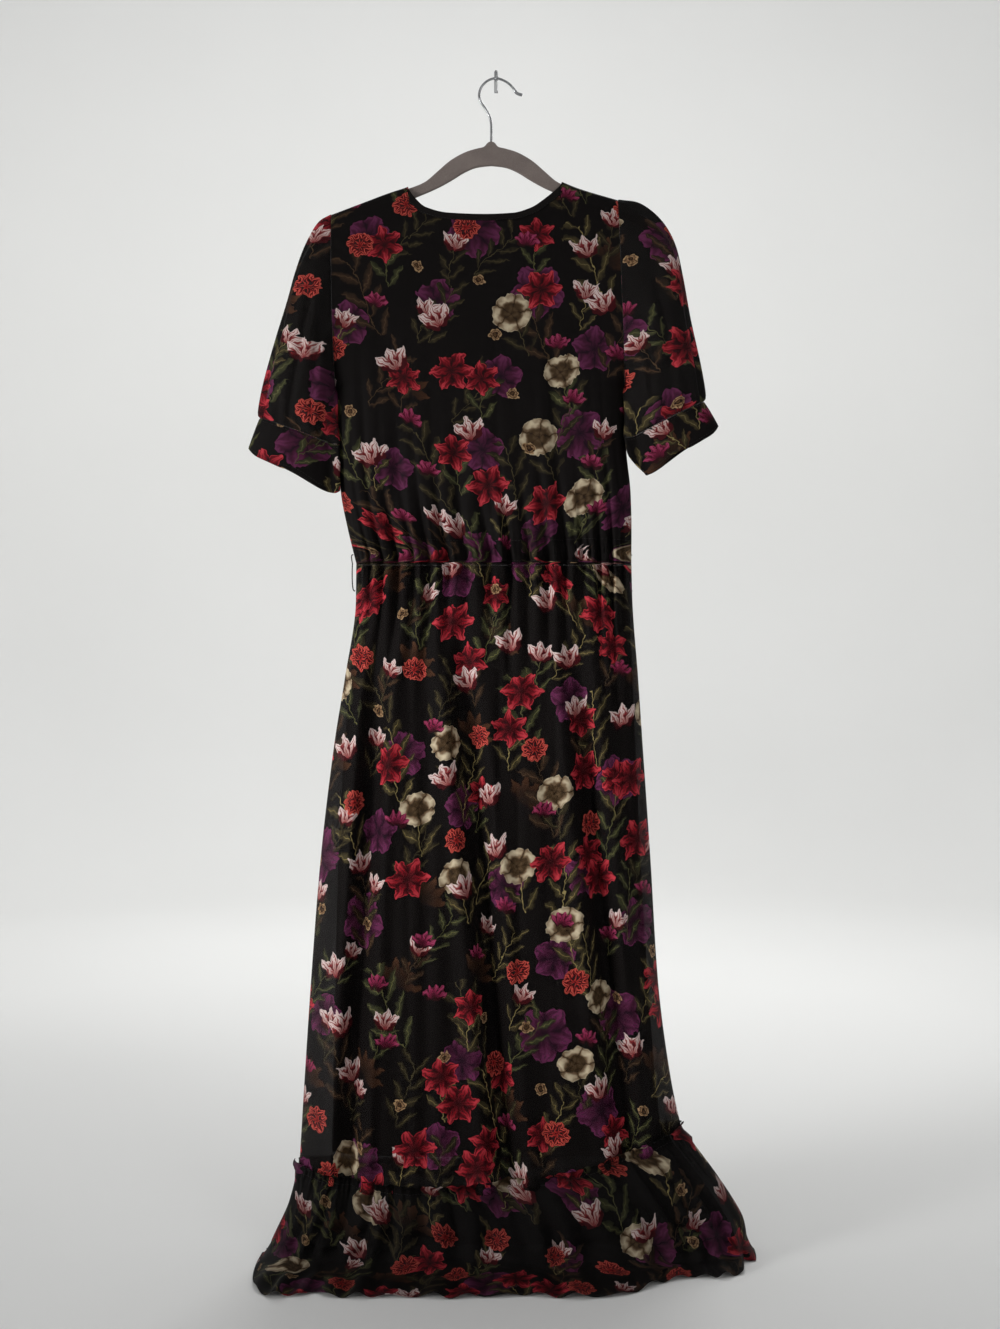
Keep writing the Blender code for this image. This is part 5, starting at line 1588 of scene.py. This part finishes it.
class DRESS_OT_flounce(bpy.types.Operator):
    """Gathered flounce round the foot of the skirt, with its heading frill and its rolled hem"""
    bl_idname = "dress.flounce"
    bl_label = "Flounce"

    def execute(self, context):
        share, step = panel_columns(SKIRT_STEPS * (context.scene.dress_cloth.columns_per_step + 1) + 1)
        for panel in PANELS:
            add_cloth("flounce", panel, ruck_flounce(panel, flounce_points(panel, share, step), share, step))
        return {"FINISHED"}


class DRESS_OT_loops(bpy.types.Operator):
    """Both thread loops for a belt: one stands out at the left seam, one lies flat by the right seam"""
    bl_idname = "dress.loops"
    bl_label = "Belt loops"

    def execute(self, context):
        down = 0.5 - 0.5 * np.cos(np.linspace(0.0, np.pi, LOOP_ROWS))
        heights = blend(LOOP_TOP_Z, LOOP_FOOT_Z, down)
        stand = np.sqrt(np.sin(np.pi * np.linspace(0.0, 1.0, LOOP_ROWS)).clip(0.0, 1.0))
        seam_x = np.where(heights > WAIST_Z, read_table(BODICE_SIDES, "left", heights),
                          read_table(SKIRT_LEVELS, "left", heights))
        standing = stack(seam_x - LOOP_THREAD - LOOP_EASE - LOOP_STAND * stand, SIDE_Y, heights)
        lying = []
        for height, share in zip(heights, stand):
            points = SHAPES["bodice_front" if height > WAIST_Z else "skirt_front"]
            row = np.abs(points[:, -1, 2] - height).argmin()
            run = lengths(points[row, ::-1])
            column = len(run) - 1 - np.abs(run - LOOP_FROM_SEAM - LOOP_LIE * share).argmin()
            column = min(column, len(run) - 2)
            way = out_of(points, True)[row, column]
            lying.append(np.array((*points[row, column, :2], height)) + way * (LOOP_THREAD + LOOP_EASE))
        lying = np.array(lying)
        for _ in range(LOOP_SMOOTHINGS):
            lying[1:-1] = 0.25 * lying[:-2] + 0.5 * lying[1:-1] + 0.25 * lying[2:]
        for side, line in (("left", standing), ("right", lying)):
            item = thread_object("thread_loop_" + side, line)
            finish_piece(item, "thread", ("sewing_thread",), "belt_loop_" + side)
        return {"FINISHED"}


class DRESS_OT_stitches(bpy.types.Operator):
    """Lines of machine stitching: neck binding, casing, cuffs, flounce heading and rolled hem"""
    bl_idname = "dress.stitches"
    bl_label = "Stitching"

    def execute(self, context):
        cloth = context.scene.dress_cloth
        middle = SHAPES["bodice_back"][:, SHAPES["bodice_back"].shape[1] // 2, 2]
        casing = [np.abs(middle - height).argmin() for height in (CASING_TOP_Z, CASING_FOOT_Z)]
        for kind, parts in (("neck", PANELS), ("bodice", PANELS), ("flounce", PANELS), ("cuff", ARMS)):
            thickness = cloth.band_thickness if kind == "cuff" else cloth.thickness
            lift = 0.5 * thickness / MM + STITCH_LIFT
            for part in parts:
                piece = f"{kind}_{part.name}"
                points, way = SHAPES[piece], out_of(SHAPES[piece], part.out > 0.0)
                lines = [(points[row] + way[row] * lift, way[row]) for row in STITCH_ROWS.get(kind, casing)]
                finish_piece(stitches_object("stitching_" + piece, lines), "thread", ("sewing_thread",))
        return {"FINISHED"}


def wire_object(context, name, line, radius, swell=None):
    """Round wire along a line of points in millimetres, turned into a mesh."""
    bpy.ops.curve.primitive_nurbs_path_add(location=(0.0, 0.0, 0.0))
    item = context.active_object
    item.name = name
    item.data.splines.clear()
    spline = item.data.splines.new("POLY")
    spline.points.add(len(line) - 1)
    for index, (target, point) in enumerate(zip(spline.points, line)):
        target.co = (*(Vector(point) * MM), 1.0)
        target.radius = swell[index] if swell else 1.0
    set_all(item.data, bevel_depth=radius, bevel_resolution=WIRE_RESOLUTION, use_fill_caps=True)
    bpy.ops.object.convert(target="MESH")
    bpy.ops.object.shade_smooth_by_angle(angle=SMOOTH_ANGLE)
    return item


def round_edges(item, **settings):
    """Bevels the edges of the active object."""
    bevel = item.modifiers.new("edges", "BEVEL")
    set_all(bevel, **settings)
    bpy.ops.object.modifier_apply(modifier=bevel.name)


class DRESS_OT_hanger(bpy.types.Operator):
    """Slim flocked hanger and its wire hook"""
    bl_idname = "dress.hanger"
    bl_label = "Hanger"

    def execute(self, context):
        hard = context.scene.dress_hard
        half = finer_rows([(edge.x, HANG_Y, edge.z) for edge in (*HANGER_TOP, *HANGER_UNDER)], HANGER_FINER)
        outline = np.concatenate((half, half[1:-1][::-1] * (-1.0, 1.0, 1.0))) + (HANG_X, 0.0, 0.0)
        bpy.ops.mesh.primitive_circle_add(vertices=len(outline), fill_type="NGON")
        body = context.active_object
        body.name = "flocked_hanger"
        for vertex, point in zip(body.data.vertices, outline):
            vertex.co = Vector(point) * MM - Vector((0.0, 0.5 * hard.hanger_thickness, 0.0))
        bpy.ops.object.mode_set(mode="EDIT")
        bpy.ops.mesh.select_all(action="SELECT")
        bpy.ops.mesh.extrude_region_move(TRANSFORM_OT_translate={"value": (0.0, hard.hanger_thickness, 0.0)})
        bpy.ops.mesh.select_all(action="SELECT")
        bpy.ops.mesh.normals_make_consistent(inside=False)
        bpy.ops.object.mode_set(mode="OBJECT")
        round_edges(body, width=hard.hanger_round, segments=BEVEL_SEGMENTS, limit_method="ANGLE",
                    angle_limit=BEVEL_ANGLE, use_clamp_overlap=False)
        bpy.ops.object.shade_smooth_by_angle(angle=SMOOTH_ANGLE)
        finish_piece(body, "flocked_hanger", ("flocking",), "hanger_body")
        line = finer_rows([(edge.x, HANG_Y, edge.z) for edge in HOOK_WIRE], HOOK_FINER)
        swell = [1.0] * (len(line) - TIP_POINTS)
        swell += [blend(1.0, TIP_SWELL, min(step / TIP_RUN, 1.0)) for step in range(TIP_POINTS - 1)]
        item = wire_object(context, "hook_wire", line, hard.wire_radius, [*swell, TIP_END])
        finish_piece(item, "polished_wire", ("nickel_wire",), "hanger_hook")
        return {"FINISHED"}


class DRESS_OT_hook(bpy.types.Operator):
    """Small wall hook: a plate with rounded edges, and a peg that turns up at its end"""
    bl_idname = "dress.hook"
    bl_label = "Wall hook"

    def execute(self, context):
        hard = context.scene.dress_hard
        bpy.ops.mesh.primitive_cube_add(size=1.0, location=(0.0, -0.5 * PLATE[1], 0.0))
        plate = context.active_object
        plate.scale = PLATE
        bpy.ops.object.transform_apply(location=True, rotation=False, scale=True)
        round_edges(plate, width=PLATE_ROUND, segments=PLATE_SEGMENTS)
        radius, wire = hard.peg_radius / MM, hard.wire_radius / MM
        level = max(edge.z for edge in HOOK_WIRE) + WIRE_TOP_EASE - wire - PEG_GAP - radius
        tip = HANG_Y - wire - PEG_PAST_WIRE - radius
        turn = [(0.0, tip + PEG_TURN * (1.0 - math.sin(a)), level + PEG_TURN * (1.0 - math.cos(a)))
                for a in np.linspace(0.0, 0.5 * math.pi, PEG_STEPS)]
        line = [(0.0, PEG_IN_PLATE, level), *turn, (0.0, tip, PEG_TOP_Z)]
        peg = wire_object(context, "peg", line, hard.peg_radius)
        bpy.ops.object.select_all(action="DESELECT")
        plate.select_set(True)
        peg.select_set(True)
        context.view_layer.objects.active = plate
        bpy.ops.object.join()
        plate.name = "wall_hook_plate"
        bpy.ops.object.shade_smooth_by_angle(angle=PLATE_ANGLE)
        finish_piece(plate, "polished_wire", ("nickel_wire",), "wall_hook")
        return {"FINISHED"}


class DRESS_OT_cuts(bpy.types.Operator):
    """Step for the cuts of cloth, which does nothing"""
    bl_idname = "dress.cuts"
    bl_label = "Cuts of cloth"

    def execute(self, context):
        return {"FINISHED"}


class DRESS_OT_stage(bpy.types.Operator):
    """Pale seamless floor and backdrop, soft studio light and the camera of the photo"""
    bl_idname = "dress.stage"
    bl_label = "Stage"

    def execute(self, context):
        scene = context.scene
        profile = [(COVE_HUB, 0.0), (COVE_FLAT, 0.0), (COVE_REACH, 0.0)]
        profile += [(COVE_REACH + COVE_ROUND * math.sin(a), COVE_ROUND * (1.0 - math.cos(a)))
                    for a in np.linspace(COVE_START, 0.5 * math.pi, COVE_STEPS)]
        profile.append((COVE_REACH + COVE_ROUND, COVE_TOP))
        reach, height = np.array(profile).T[..., None]
        turn = 2.0 * np.pi * np.arange(COVE_SIDES) / COVE_SIDES
        points = stack(reach * np.cos(turn), reach * np.sin(turn), height + CAD_BOX[0][2] - FLOOR_GAP)
        faces = grid_faces(len(profile), COVE_SIDES, True).reshape(-1, 4).tolist()
        cove = mesh_object("studio_cove", points / MM, faces)
        cove.data.materials.append(material_of("studio_paint"))
        world = bpy.data.worlds.new("studio_air")
        world.use_nodes = True
        air = world.node_tree.nodes["Background"].inputs
        air["Color"].default_value = linear(AIR_COLOUR)
        air["Strength"].default_value = AIR_STRENGTH
        scene.world = world
        for lamp in LAMPS:
            bpy.ops.object.light_add(type="AREA", location=lamp.place)
            item = context.active_object
            item.name = lamp.name
            set_all(item.data, shape="SQUARE", size=lamp.size, energy=lamp.power,
                    spread=math.radians(lamp.spread))
            aim = Vector(lamp.aim) - Vector(lamp.place)
            item.rotation_euler = aim.to_track_quat("-Z", "Y").to_euler()
        bpy.ops.object.camera_add(location=CAMERA_PLACE, rotation=(0.5 * math.pi, 0.0, 0.0))
        camera = context.active_object
        camera.name = "photo_camera"
        set_all(camera.data, sensor_fit="AUTO", sensor_width=CAMERA_SENSOR, lens=CAMERA_LENS)
        scene.camera = camera
        scene.view_settings.view_transform = "Standard"
        return {"FINISHED"}


class DRESS_PT_pieces(bpy.types.Panel):
    """Buttons and sizes of the dress"""
    bl_label = "Dress"
    bl_idname = "DRESS_PT_pieces"
    bl_space_type = "VIEW_3D"
    bl_region_type = "UI"
    bl_category = "Dress"

    def draw(self, context):
        layout = self.layout
        for settings in (context.scene.dress_cloth, context.scene.dress_hard):
            for name in settings.__annotations__:
                layout.prop(settings, name)
        for step in STEPS:
            layout.operator(step.bl_idname)


STEPS = (DRESS_OT_bodice, DRESS_OT_neck, DRESS_OT_sleeves, DRESS_OT_cuffs, DRESS_OT_skirt, DRESS_OT_slip,
         DRESS_OT_flounce, DRESS_OT_loops, DRESS_OT_stitches, DRESS_OT_hanger, DRESS_OT_hook, DRESS_OT_cuts,
         DRESS_OT_stage)
CLASSES = (DressClothSettings, DressHardSettings, *STEPS, DRESS_PT_pieces)


def register():
    """Adds the settings, the operators and the panel."""
    for item in CLASSES:
        bpy.utils.register_class(item)
    bpy.types.Scene.dress_cloth = PointerProperty(type=DressClothSettings)
    bpy.types.Scene.dress_hard = PointerProperty(type=DressHardSettings)


def unregister():
    """Takes the settings, the operators and the panel out again."""
    del bpy.types.Scene.dress_hard
    del bpy.types.Scene.dress_cloth
    for item in reversed(CLASSES):
        bpy.utils.unregister_class(item)


def main():
    """Makes every piece in order."""
    register()
    bpy.ops.object.select_all(action="DESELECT")
    for step in STEPS:
        group, name = step.bl_idname.split(".")
        if getattr(getattr(bpy.ops, group), name)() != {"FINISHED"}:
            raise RuntimeError(step.bl_idname + " did not finish")


if __name__ == "__main__":
    main()
